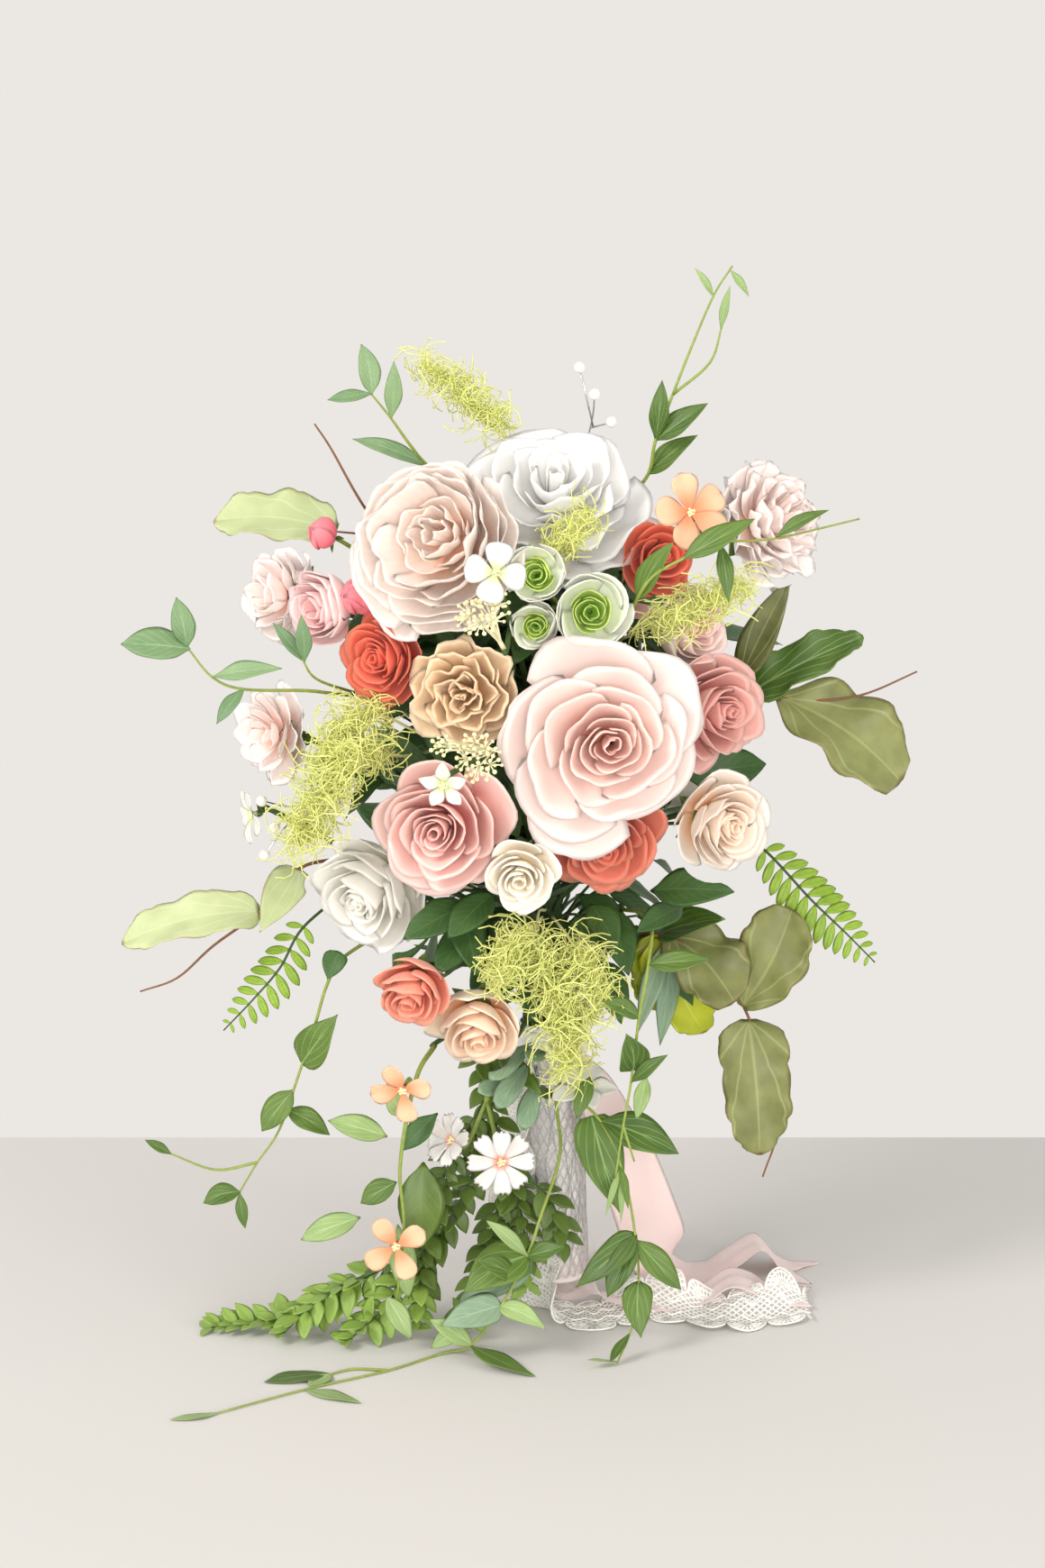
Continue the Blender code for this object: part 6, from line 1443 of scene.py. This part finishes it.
# stems: the trunk, a branch to every piece, the bundle in the handle and the collar leaves
gripProfile = [(0.0, 20.6), (84.0, 17.2), (140.0, 18.6), (200.0, 18.6)]
stemsLook = {
    "trunk": [(0, 0, 160), (-2, -1, 230), (-5, -2, 310), (-6, -2, 396)], "trunkRadii": [9.0, 7.0, 6.0, 4.0],
    "via": {"berries_left": (-17, -58, 334), "berries_front": (-20, -72, 386),
        "rose_coral_right": (16, -8, 410), "orchid_peach_right": (82, -42, 434),
        "star_flower": (-24, -96, 321), "rose_cream_small": (-14, -60, 240),
        "rose_ivory_left": (-40, -20, 226), "cosmos_white": (-16, -40, 164),
        "floret_white_front": (-24, -106, 401)},
    "collar": [((-40, 10, 420), (-96, 40, 452), 30), ((10, 20, 440), (6, 70, 480), 32),
        ((60, 10, 420), (104, 34, 440), 30), ((90, 20, 370), (132, 40, 372), 30),
        ((60, 30, 270), (112, 52, 262), 32), ((-60, 30, 260), (-112, 52, 262), 32),
        ((-70, 20, 380), (-128, 44, 384), 30), ((0, 40, 240), (0, 92, 208), 32),
        ((-30, 0, 205), (-76, 20, 184), 26), ((30, 4, 205), (74, 24, 190), 26),
        ((70, -20, 300), (122, -8, 306), 26), ((-70, -10, 300), (-128, 8, 304), 26),
        ((-28, -36, 224), (-30, -84, 200), 30), ((16, -34, 212), (22, -76, 190), 26),
        ((-62, -40, 224), (-70, -62, 182), 26), ((40, -50, 318), (58, -92, 300), 26),
        ((-30, -60, 312), (-16, -104, 300), 26), ((-92, -40, 300), (-118, -88, 296), 30),
        ((60, -40, 372), (52, -84, 362), 26), ((-96, -40, 402), (-112, -66, 366), 22),
        ((22, -44, 412), (24, -90, 424), 22)],
    "bundle": {"outer": 10, "outerRadius": 4.4, "inner": 5, "innerRadius": 4.6},
    # where branches and twigs may leave the trunk, and a twig's radii
    "branchFrom": (176, 390), "twigFrom": (178, 388), "twigRadii": (1.3, 1.2, 1.1, 1.0, 0.9, 0.8, 0.7),
}


def gripRadius(height):
    heights, radii = zip(*gripProfile)
    return np.interp(height, heights, radii)


def trunkAt(height):
    line = np.array(stemsLook["trunk"], float)
    return pointAt(line, line[:, 2], height)


def addBranch(cloud, points, radii):
    # a smooth branch through four points, with a radius at each
    addTube(cloud, smoothLine(points, 5), np.interp(np.arange(16) / 5, range(4), radii), 8, 0.4)


for name in singles:
    base, axis = bloomBase(name)
    seat = 1.8 if name in florets else min(4.4, 0.20 * blooms[name][3])
    plugs.append((name, base - axis * 0.3, axis, seat))
for name, stem in clusterLines.items():
    plugAt(name, stem)

cloud = newCloud()
addTube(cloud, smoothLine(stemsLook["trunk"], 6),
        np.interp(np.arange(19) / 6, range(4), stemsLook["trunkRadii"]), 14, 0.3)
for name, end, axis, seat in plugs:
    flower = seat > 1.7
    back = end - axis * (14 if flower else 8)
    height = np.clip(back[2] - 0.8 * math.hypot(back[0], back[1]), *stemsLook["branchFrom"])
    hub = trunkAt(height)
    middle = stemsLook["via"].get(name)
    if middle is None:
        rise = 0.10 * np.linalg.norm(back - hub) if height > stemsLook["branchFrom"][0] else 3.0
        middle = (hub + back) / 2 + np.array((0, 0, rise))
    if flower:
        addBranch(cloud, [hub, middle, end - axis * 6, end], [1.9, 1.7, 1.6, seat])
    else:
        addBranch(cloud, [hub, middle, end - axis * 3, end], [1.8, 1.5, 1.4, 1.4])
headCentre = np.array((-12.0, -5.0, 335.0))
collarCloud = newCloud()
for number, (base, tip, width) in enumerate(stemsLook["collar"]):
    base, tip = np.array(base, float), np.array(tip, float)
    base, out = keepClear(base), unit(base - headCentre)
    root = trunkAt(np.clip(base[2] - 30, *stemsLook["twigFrom"]))
    ahead = unit(tip - base)
    addTube(cloud, [root, (root + base) / 2, base + ahead * 3], [1.6, 1.3, 1.0], 7, 0.4)
    addBlade(collarCloud, base, ahead, unit(out + (0, 0, 0.6)), np.linalg.norm(tip - base), width, "oval",
             0.4, 0.2, 0.8, 2.0, 0.4, 13, 7, 0.3 + 0.1 * (number % 4))
# rose leaves that fill the gaps between the flowers: count, share of the reach and length
filler = {"shells": [(150, 0.92, (30, 42)), (80, 0.70, (40, 52))], "reach": (92, 84, 112), "width": 0.5,
          "top": 452}
for count, shell, (short, long) in filler["shells"]:
    for n in range(count):
        up = 1 - 2 * (n + 0.5) / count
        turn, out = leafTurn * n, math.sqrt(1 - up * up)
        way = np.array((out * math.cos(turn), out * math.sin(turn), up))
        spot = headCentre + way * np.array(filler["reach"]) * shell
        if spot[2] > filler["top"] or np.linalg.norm(keepClear(spot, -3.0) - spot) > 0.01:
            continue
        along = unit(np.cross(way, unit(seedling.normal(size=3))) + 0.55 * way)
        length = seedling.uniform(short, long)
        addBlade(collarCloud, spot - along * length * 0.4, along, way, length, length * filler["width"],
                 "oval",
                 0.5, 0.2, 0.8, 2.0, 0.4, 11, 7, seedling.uniform(0.2, 0.8))
        root = trunkAt(np.clip(spot[2] - 30, *stemsLook["twigFrom"]))
        twig = [root, (root + spot) / 2 + (0, 0, 4), spot - along * length * 0.38]
        addTube(cloud, smoothLine(twig, 3), stemsLook["twigRadii"], 5, 0.4)
# leaves that hang under the head, round the top of the handle
skirt = {"count": 30, "height": (206, 242), "far": (22, 66), "length": (34, 46)}
for n in range(skirt["count"]):
    turn, step = leafTurn * n, (n % 6) / 5
    out = np.array((math.cos(turn), math.sin(turn), 0.0))
    root = trunkAt(190 + 20 * step)
    spot = root + out * np.interp(step, (0, 1), skirt["far"])
    spot[2] = np.interp((n % 5) / 4, (0, 1), skirt["height"])
    length = seedling.uniform(*skirt["length"])
    addBlade(collarCloud, spot, out + (0, 0, -0.25 - 0.4 * step), (0, -0.3, 1), length, length * 0.5, "oval",
             0.6, 0.2, 0.8, 2.0, 0.4, 11, 7, seedling.uniform(0.1, 0.7))
    twig = [root, (root + spot) / 2 + (0, 0, 3), spot + out]
    addTube(cloud, smoothLine(twig, 3), stemsLook["twigRadii"], 5, 0.4)
bundle = stemsLook["bundle"]
levels = np.linspace(0.0, 160.0, 9)
for ring in ("outer", "inner"):
    count, size = bundle[ring], bundle[ring + "Radius"]
    far = gripRadius(levels) - 1.5 - size if ring == "outer" else 5.4
    for k in range(count):
        addTube(cloud, ringPoints(far, 2 * math.pi * (k + 0.5) / count, levels), size, 12, 0.2 + 0.05 * k)
addTube(cloud, [(0, 0, 0), (0, 0, 172)], 12.0, 16, 0.3)
stems = ridesAs(makePiece("stems", cloud, stemDark), "stem", "stem_bundle")
ridesAs(makePiece("collar_leaves", collarCloud, leafFinishes["roseLeaf"]), "stem")
ridesAs(makePiece("sepals", sepalCloud, leafFinishes["fresh"]), "stem")
ridesAs(makePiece("stalks", stalkCloud, stemGreen), "stem")
print("stems made:", len(plugs), "branches")


# cloth, net and lace; across and along are in millimetres on the flat cloth

def clothFinish(name, colour, shadow, thread=0.6, relief=0.0001, alpha=None, sheen=0.4, roughness=0.6):
    made, shader, across, along, _, place = startFinish(
        name, roughness, **{"Sheen Weight": sheen, "Sheen Roughness": 0.4, "Specular IOR Level": 0.35})
    cloth = addNode(made.node_tree, "ShaderNodeGroup", {"Along": along, "Across": across, "Thread": thread},
                    node_tree=weave)
    # the cloth's colour is mixed in noise patches with its darker shadow copy, and the weave's Shade darkens
    # it between the threads: both are painted shade
    colourAndPaintedShade = blendColour(noiseAt(place, 45.0), linear(colour), linear(shadow))
    plugIn(shader.inputs["Base Color"], scaledColour(colourAndPaintedShade, cloth.outputs["Shade"]))
    addBump(shader, cloth.outputs["Height"], 0.4, relief)
    if alpha is not None:
        plugIn(shader.inputs["Alpha"], alpha(across, along, place))
    return made


def netThreads(across, along, slope, pitch, width):
    # two sets of threads that lean against each other
    sets = [bandBelow(sawOf((along * way + across) / pitch), width, 0.04) for way in (slope, -slope)]
    return calc("MAXIMUM", *sets)


def netHoles(across, along, place):
    # the sleeve's net: long diamonds of crossing threads, with faint finer ones between
    fine = netThreads(across, along, 0.9, 2.4, 0.06)
    return calc("MAXIMUM", netThreads(across, along, 0.5, 4.8, 0.04), fine * 0.08)


# the tail's lace: fans along both edges, and a net with two wavy cords between them
lacePattern = {"pitch": 22.0, "half": 24.0, "fanAt": 13.0, "fanReach": 10.7, "rays": 11,
               "arcs": ((10.2, 0.7), (7.4, 0.55), (4.4, 0.5)), "sway": 0.57}


def scallopHoles(across, along, place):
    pitch = lacePattern["pitch"]
    wobble = noiseAt(place, 180.0) * 1.2 - 0.6
    x = (calc("FRACT", along / pitch) - 0.5) * pitch + wobble
    y = abs(across) - lacePattern["fanAt"]
    far = calc("SQRT", x * x + y * y)
    fan = bandBelow(sawOf(calc("ARCTAN2", y, x) * (lacePattern["rays"] / math.pi)), 0.20, 0.06)
    for radius, width in lacePattern["arcs"]:
        fan = calc("MAXIMUM", fan, bandBelow(abs(far - radius), width - 0.1, 0.2))
    inside = bandBelow(far, lacePattern["fanReach"], 0.2)
    net = netThreads(across, along, 0.8, 3.6, 0.15)
    for side in (1.0, -1.0):
        cord = abs(across - (calc("SINE", along * lacePattern["sway"]) * 2.6 + side * 6.0))
        net = calc("MAXIMUM", net, bandBelow(cord, 0.7, 0.2))
    fine = 0.3  # fine threads fill the holes
    net, fan = calc("MAXIMUM", net, fine), calc("MAXIMUM", fan * inside, inside * fine)
    return blendValue(stepBetween(y, -0.3, 0.3), net, fan)


def sheerThreads(across, along, place):
    # the cloth is a little see-through between its threads, and its cut edges fray
    warp = abs(calc("SINE", across * 9.0))
    edge = 20.0 - abs(across)
    frayed = stepBetween(edge + noiseAt(place, 1500.0, 3.0) * 1.6, 0.6, 1.4)
    return frayed * (warp * 0.18 + 0.66)


def veilThreads(across, along, place):
    # almost clear over the handle, denser where it lies on the surface
    return sheerThreads(across, along, place) * stepBetween(along, 118, 178, 0.03, 0.8)


satin = clothFinish("satinWrap", (1.0, 0.995, 0.985), (0.98, 0.975, 0.96), 0.3, 0.00012)
laceNet = clothFinish("laceNet", (0.86, 0.855, 0.85), (0.74, 0.735, 0.73), 0.5, 0.0001, netHoles, 0.2, 0.55)
netCord = clothFinish("netCord", (0.80, 0.795, 0.79), (0.66, 0.655, 0.65), 0.3, 0.0001, None, 0.2, 0.35)
laceEdging = clothFinish("laceEdging", (0.985, 0.98, 0.96), (0.95, 0.94, 0.91), 0.5, 0.0001, scallopHoles,
                         0.2, 0.75)
laceCord = clothFinish("laceCord", (0.99, 0.985, 0.965), (0.96, 0.95, 0.92), 0.4, 0.0001, None, 0.2, 0.8)
chiffon = clothFinish("chiffonPink", (1.0, 0.92, 0.905), (1.0, 0.895, 0.88), 0.45, 0.00008, sheerThreads, 0.5,
                      0.65)
veil = clothFinish("chiffonVeil", (1.0, 0.93, 0.92), (1.0, 0.91, 0.90), 0.45, 0.00008, veilThreads, 0.5, 0.65)


# the handle: fabric wrapped in a spiral, net over it and a tie at the top
handle = {"wrapTurn": 17.0, "wrapStep": 0.7, "netSwell": 0.75, "netRibs": 12, "tieSwell": 0.9,
          "tieFrom": 139.0,
          "tieFold": 4.7, "around": 115.0, "cords": 12, "cordSwell": 1.15, "cordRadius": 0.34,
          "cordRise": 22.0}


def wrapSwell(z, turn):
    # each turn of the fabric laps over the one below
    saw = (z / handle["wrapTurn"] - turn / (2 * math.pi)) % 1.0
    return -handle["wrapStep"] * np.minimum(saw * 1.05, 1.0) ** 0.8


def netSwell(z, turn):
    return handle["netSwell"] + 0.3 * np.sin(turn * handle["netRibs"] + z * 0.7)


def tieSwell(z, turn):
    folds = np.abs(np.sin((z - handle["tieFrom"]) * math.pi / handle["tieFold"] + 0.25 * np.sin(turn * 2)))
    return handle["tieSwell"] + 0.5 * folds


sleeves = {
    "wrap_fabric": {"node": "handle_wrap", "slot": "satin", "finish": satin, "span": (7.0, 156.0),
        "rows": 120, "sides": 72, "swell": wrapSwell, "inner": -1.2},
    "lace_sleeve": {"node": "lace_wrap", "slot": "lace", "finish": laceNet, "span": (10.0, 138.0), "rows": 40,
        "sides": 96, "swell": netSwell, "inner": 0.35},
    "tie_band": {"node": "grip_band", "slot": "satin", "finish": satin, "span": (139.0, 153.0), "rows": 25,
        "sides": 80, "swell": tieSwell, "inner": 0.3},
}


def addSleeve(name):
    # rings up the outside of the grip and back down a plain inner wall
    look = sleeves[name]
    sides = look["sides"]
    turn = np.arange(sides) * 2 * math.pi / sides
    heights = np.linspace(*look["span"], look["rows"])
    rings = [ringPoints(gripRadius(z) + look["swell"](z, turn), turn, z) for z in heights]
    rings += [ringPoints(gripRadius(z) + look["inner"], turn, z) for z in heights[::-1]]
    total = len(rings)
    i, j = np.arange(total)[:, None], np.arange(sides)[None, :]
    k, n = (j + 1) % sides, (i + 1) % total
    faces = np.stack((i * sides + j, i * sides + k, n * sides + k, n * sides + j), -1).reshape(-1, 4)
    levels = np.concatenate((heights, heights[::-1]))
    flat = np.stack(np.meshgrid(np.arange(sides) / sides * handle["around"], levels), -1)
    cloud = newCloud()
    addPart(cloud, np.vstack(rings), [faces], flat)
    ridesAs(makePiece(name, cloud, look["finish"]), look["slot"], look["node"])


addSleeve("wrap_fabric")
addSleeve("lace_sleeve")
cloud = newCloud()
low, high = sleeves["lace_sleeve"]["span"]
heights = np.arange(low + 1, high - 1, 3.0)
for k in range(handle["cords"]):  # pairs of cords that cross on their way up
    for way in (-1, 1):
        start = 2 * math.pi * (k + 0.13 * np.sin(2.1 * k)) / handle["cords"]
        zigzag = np.abs((heights / handle["cordRise"] + 0.5 * (k % 2)) % 2 - 1)
        line = ringPoints(gripRadius(heights) + handle["cordSwell"], start + way * 0.20 * zigzag, heights)
        addTube(cloud, line, handle["cordRadius"], 5, 0.5)
ridesAs(makePiece("lace_sleeve_cords", cloud, netCord), "lace")
addSleeve("tie_band")


# ribbon and lace tails: centre line, direction across, width at each point
tails = {
    "ribbon_tail_right": {"rows": [((13.8, -15.7, 157), (0.77, 0.64, 0), 12),
        ((13.8, -15.7, 140), (0.77, 0.64, 0), 14), ((24, -17, 122), (0.82, 0.57, 0), 24),
        ((36, -12, 92), (0.85, 0.53, 0), 34), ((48, -7, 60), (0.85, 0.53, 0), 40),
        ((58, -2, 30), (0.82, 0.57, 0), 42), ((66, 4, 10), (0.66, 0.75, 0), 42),
        ((78, 12, 2.2), (0.30, 0.95, 0), 40), ((92, 18, 0.8), (0.0, 1, 0), 38),
        ((106, 22, 9), (-0.1, 1, 0), 36), ((120, 22, 17), (-0.1, 1, 0), 36), ((132, 20, 6), (-0.1, 1, 0), 36),
        ((142, 18, 0.8), (-0.1, 1, 0), 36), ((154, 15, 0.6), (-0.1, 1, 0), 36)], "ripple": 0.5, "cut": 14.0,
        "flat": (0.040, 0.270), "held": "hung", "finish": chiffon, "slot": "ribbon",
        "restsOn": ["grip_band"]},
    "ribbon_tail_front": {"rows": [((-2, -20.8, 155), (1, 0, 0), 12), ((-2, -21.4, 136), (1, 0, 0), 14),
        ((-1, -24.5, 100), (1, 0, 0), 28), ((0, -27.0, 60), (1, 0, 0), 36), ((6, -31, 28), (1, 0, 0), 37),
        ((18, -38, 13), (0.85, -0.5, 0), 34), ((36, -39, 6), (0.4, -0.9, 0), 33),
        ((60, -34, 2.6), (0, -1, 0), 34), ((84, -29, 4), (0, -1, 0), 34), ((100, -26, 12), (0, -1, 0), 34),
        ((112, -26, 10), (0, -1, 0), 34), ((124, -27, 3.4), (0, -1, 0), 34),
        ((148, -28, 2.2), (0, -1, 0), 34)], "ripple": 0.5, "cut": 14.0, "flat": (0.036, 0.300),
        "held": "hung", "finish": veil, "slot": "ribbon", "restsOn": ["grip_band"]},
    "lace_tail": {"rows": [((-13.2, -15.6, 136), (0.77, -0.64, 0), 12),
        ((-20, -21, 116), (0.85, -0.53, 0), 14), ((-22, -30, 82), (0.95, -0.3, 0), 26),
        ((-19, -35, 52), (0.97, -0.22, 0), 36), ((-14, -42, 24), (0.9, -0.44, 0), 44),
        ((0, -50, 4), (0.6, -0.8, 0), 46), ((22, -54, 0.5), (0.2, -1, 0), 46),
        ((50, -47, 0.5), (0, -1, 0), 48), ((80, -48, 0.5), (0, -1, 0), 48), ((112, -50, 0.5), (0, -1, 0), 48),
        ((144, -50, 0.5), (0, -1, 0), 48)], "ripple": 0.5, "cut": 0.0, "flat": (0.048, 0.310), "held": "hung",
        "crumple": 19.0, "finish": laceEdging, "slot": "lace", "restsOn": ["lace_wrap"]},
}


lying = {"from": 165.0, "over": 28.0,
         "lowest": 0.5}  # where a tail's crumpled part starts, and its least height


def addTail(cloud, look, thick=0.35, cols=17):
    # a strip of cloth along its centre line: gathered at the top, waved on its way, crumpled where it lies
    middles, ways, widths = zip(*look["rows"])
    line, across = smoothLine(middles, 8), smoothLine(ways, 8)
    width = smoothLine([(w, 0, 0) for w in widths], 8)[:, 0]
    line[:, 2] = np.maximum(line[:, 2], lying["lowest"])
    spans = lengthsAlong(line)
    across = np.array([unit(a - unit(d) * (a @ unit(d))) for a, d in zip(across, np.gradient(line, axis=0))])
    u = np.linspace(-1, 1, cols)[None, :]
    rows = len(line) * 2
    grid, flat = np.zeros((rows, cols, 3)), np.zeros((rows, cols, 2))
    for j, side in enumerate(u[0]):
        at = np.linspace(0, spans[-1] - look["cut"] * (1 - abs(side)), rows)
        out = side / 2 * np.interp(at, spans, width)
        grid[:, j] = pointAt(line, spans, at) + out[:, None] * pointAt(across, spans, at)
        flat[:, j, 0] = side * look["flat"][0] / mm / 2
        flat[:, j, 1] = at
    normal = np.cross(np.gradient(grid, axis=1), np.gradient(grid, axis=0))
    normal /= np.maximum(np.linalg.norm(normal, axis=2, keepdims=True), 1e-9)
    length = flat[:, :, 1]
    gather = 1 + 2.5 * np.clip(1 - length / 40.0, 0, 1)
    wave = np.sin(length / 9.0 + 1.5 * u) + gather * np.sin(u * 7.0 + length / 30.0)
    grid = grid + normal * (look["ripple"] * wave)[..., None]
    crumple = np.clip((length - lying["from"]) / lying["over"], 0, 1) * look.get("crumple", 0.0)
    folds = 0.55 + 0.25 * np.sin(length / 9.5 + 2.2 * u) + 0.10 * np.sin(length / 4.3 + 1.0)
    grid[..., 2] += crumple * folds * (0.12 + 0.88 * np.clip(0.15 - u, 0, 1))
    grid[..., 1] += crumple * 0.35 * np.sin(length / 14.0)
    grid[..., 2] = np.maximum(grid[..., 2], lying["lowest"])
    thinSheet(cloud, grid, thick, flat)
    return grid, flat[-1, 0, 1]


def spotOn(grid, reach, at, side):
    # just above a tail's surface, at this length along it and this share of its half width
    row, col = at / reach * (len(grid) - 1), (side + 1) / 2 * (grid.shape[1] - 1)
    i, j = min(int(row), len(grid) - 2), min(int(col), grid.shape[1] - 2)
    a, b = row - i, col - j
    near, far = ((1 - b) * grid[k, j] + b * grid[k, j + 1] for k in (i, i + 1))
    return (1 - a) * near + a * far + (0, 0, 0.3)


def addLaceCords(cloud, grid, reach):
    # raised cords of the lace: the rim and the rays of each fan, and two wavy lines between the edges
    pitch, half, fanAt = lacePattern["pitch"], lacePattern["half"], lacePattern["fanAt"]

    def fanSpot(fan, edge, turn, far):
        along = (fan + 0.5) * pitch - math.cos(turn) * far
        return spotOn(grid, reach, along, edge * (fanAt + math.sin(turn) * far) / half)

    for fan in range(1, int(reach / pitch)):
        for edge in (-1, 1):
            addTube(cloud, [fanSpot(fan, edge, turn, 10.3) for turn in np.linspace(0, math.pi, 13)], 0.5, 5)
            for turn in np.linspace(0.2, math.pi - 0.2, 9):
                addTube(cloud, [fanSpot(fan, edge, turn, far) for far in (2.0, 6.0, 10.2)], 0.36, 4)
    for side in (0.25, -0.25):
        sway = [(at, side + 0.11 * math.sin(at * lacePattern["sway"])) for at in np.arange(4, reach, 1.6)]
        addTube(cloud, [spotOn(grid, reach, at, place) for at, place in sway], 0.5, 5)


for name, look in tails.items():
    cloud, cords, others = newCloud(), newCloud(), []
    grid, reach = addTail(cloud, look)
    piece = ridesAs(makePiece(name + "_cloth", cloud, look["finish"]), look["slot"], name)
    if look["slot"] == "lace":
        addLaceCords(cords, grid, reach)
        others = [ridesAs(makePiece("lace_tail_cords", cords, laceCord), "lace")]
print("handle and tails made")


# floor, light and camera
stageLook = {"floorBack": 0.275, "floorSize": 4.0, "floorColour": (0.86, 0.85, 0.835),
             "wall": (0.922, 0.908, 0.893),
             "ceiling": (0.86, 0.855, 0.85), "wallTop": (0.18, 0.60)}
floorMesh = bpy.data.meshes.new("floor")
back, wide = stageLook["floorBack"], stageLook["floorSize"]
floorMesh.from_pydata([(-wide, -wide, 0), (wide, -wide, 0), (wide, back, 0), (-wide, back, 0)], [],
                      [(0, 1, 2, 3)])
floor = bpy.data.objects.new("floor", floorMesh)
scene.collection.objects.link(floor)
floorFinish, shader, *_, place = startFinish("paleFloor", 0.9, **{"Specular IOR Level": 0.1})
pale = linear(stageLook["floorColour"])
# the floor is a little darker in broad noise patches
patchColour = tuple(0.98 * c for c in pale[:3]) + (1.0,)
plugIn(shader.inputs["Base Color"], blendColour(noiseAt(place, 3.0), pale, patchColour))
floorMesh.materials.append(floorFinish)

world = bpy.data.worlds.new("studio")
world.use_nodes = True
scene.world = world
background = world.node_tree.nodes["Background"]
heading = addNode(world.node_tree, "ShaderNodeTexCoord").outputs["Generated"]
height = addNode(world.node_tree, "ShaderNodeSeparateXYZ", {0: heading}).outputs["Z"]
above = stepBetween(Wire(height), *stageLook["wallTop"])  # a pale wall all round under a darker ceiling
plugIn(background.inputs["Color"],
       blendColour(above, linear(stageLook["wall"]), linear(stageLook["ceiling"])))
background.inputs["Strength"].default_value = 1.0


def addArea(name, at, aim, size, power, colour):
    light = bpy.data.lights.new(name, "AREA")
    light.shape, light.size, light.energy, light.color = "DISK", size, power, colour
    lamp = bpy.data.objects.new(name, light)
    lamp.location = at
    way = np.array(aim, float) - np.array(at, float)
    yaw, pitch = math.atan2(way[0], -way[1]), math.atan2(-way[2], math.hypot(way[0], way[1]))
    lamp.rotation_euler = (math.pi / 2 - pitch, 0, yaw + math.pi)
    scene.collection.objects.link(lamp)


addArea("rightLight", (2.6, -2.6, 1.3), (0, 0, 0.25), 1.8, 34, (1.0, 0.98, 0.95))
addArea("keyLight", (-2.8, -2.3, 2.7), (0, -0.05, 0.25), 1.6, 92, (1.0, 0.97, 0.93))
addArea("fillLight", (0.1, -4.2, 0.45), (0, 0, 0.25), 2.2, 112, (1.0, 0.98, 0.96))

cameraData = bpy.data.cameras.new("photoCamera")
cameraData.sensor_width, cameraData.lens = 36.0, 70.34
camera = bpy.data.objects.new("photoCamera", cameraData)
camera.location = (-0.0165, -1.6688, 0.6159)
camera.rotation_euler = (math.radians(79), 0, 0)
scene.collection.objects.link(camera)
scene.camera = camera
scene.view_settings.view_transform = "Standard"
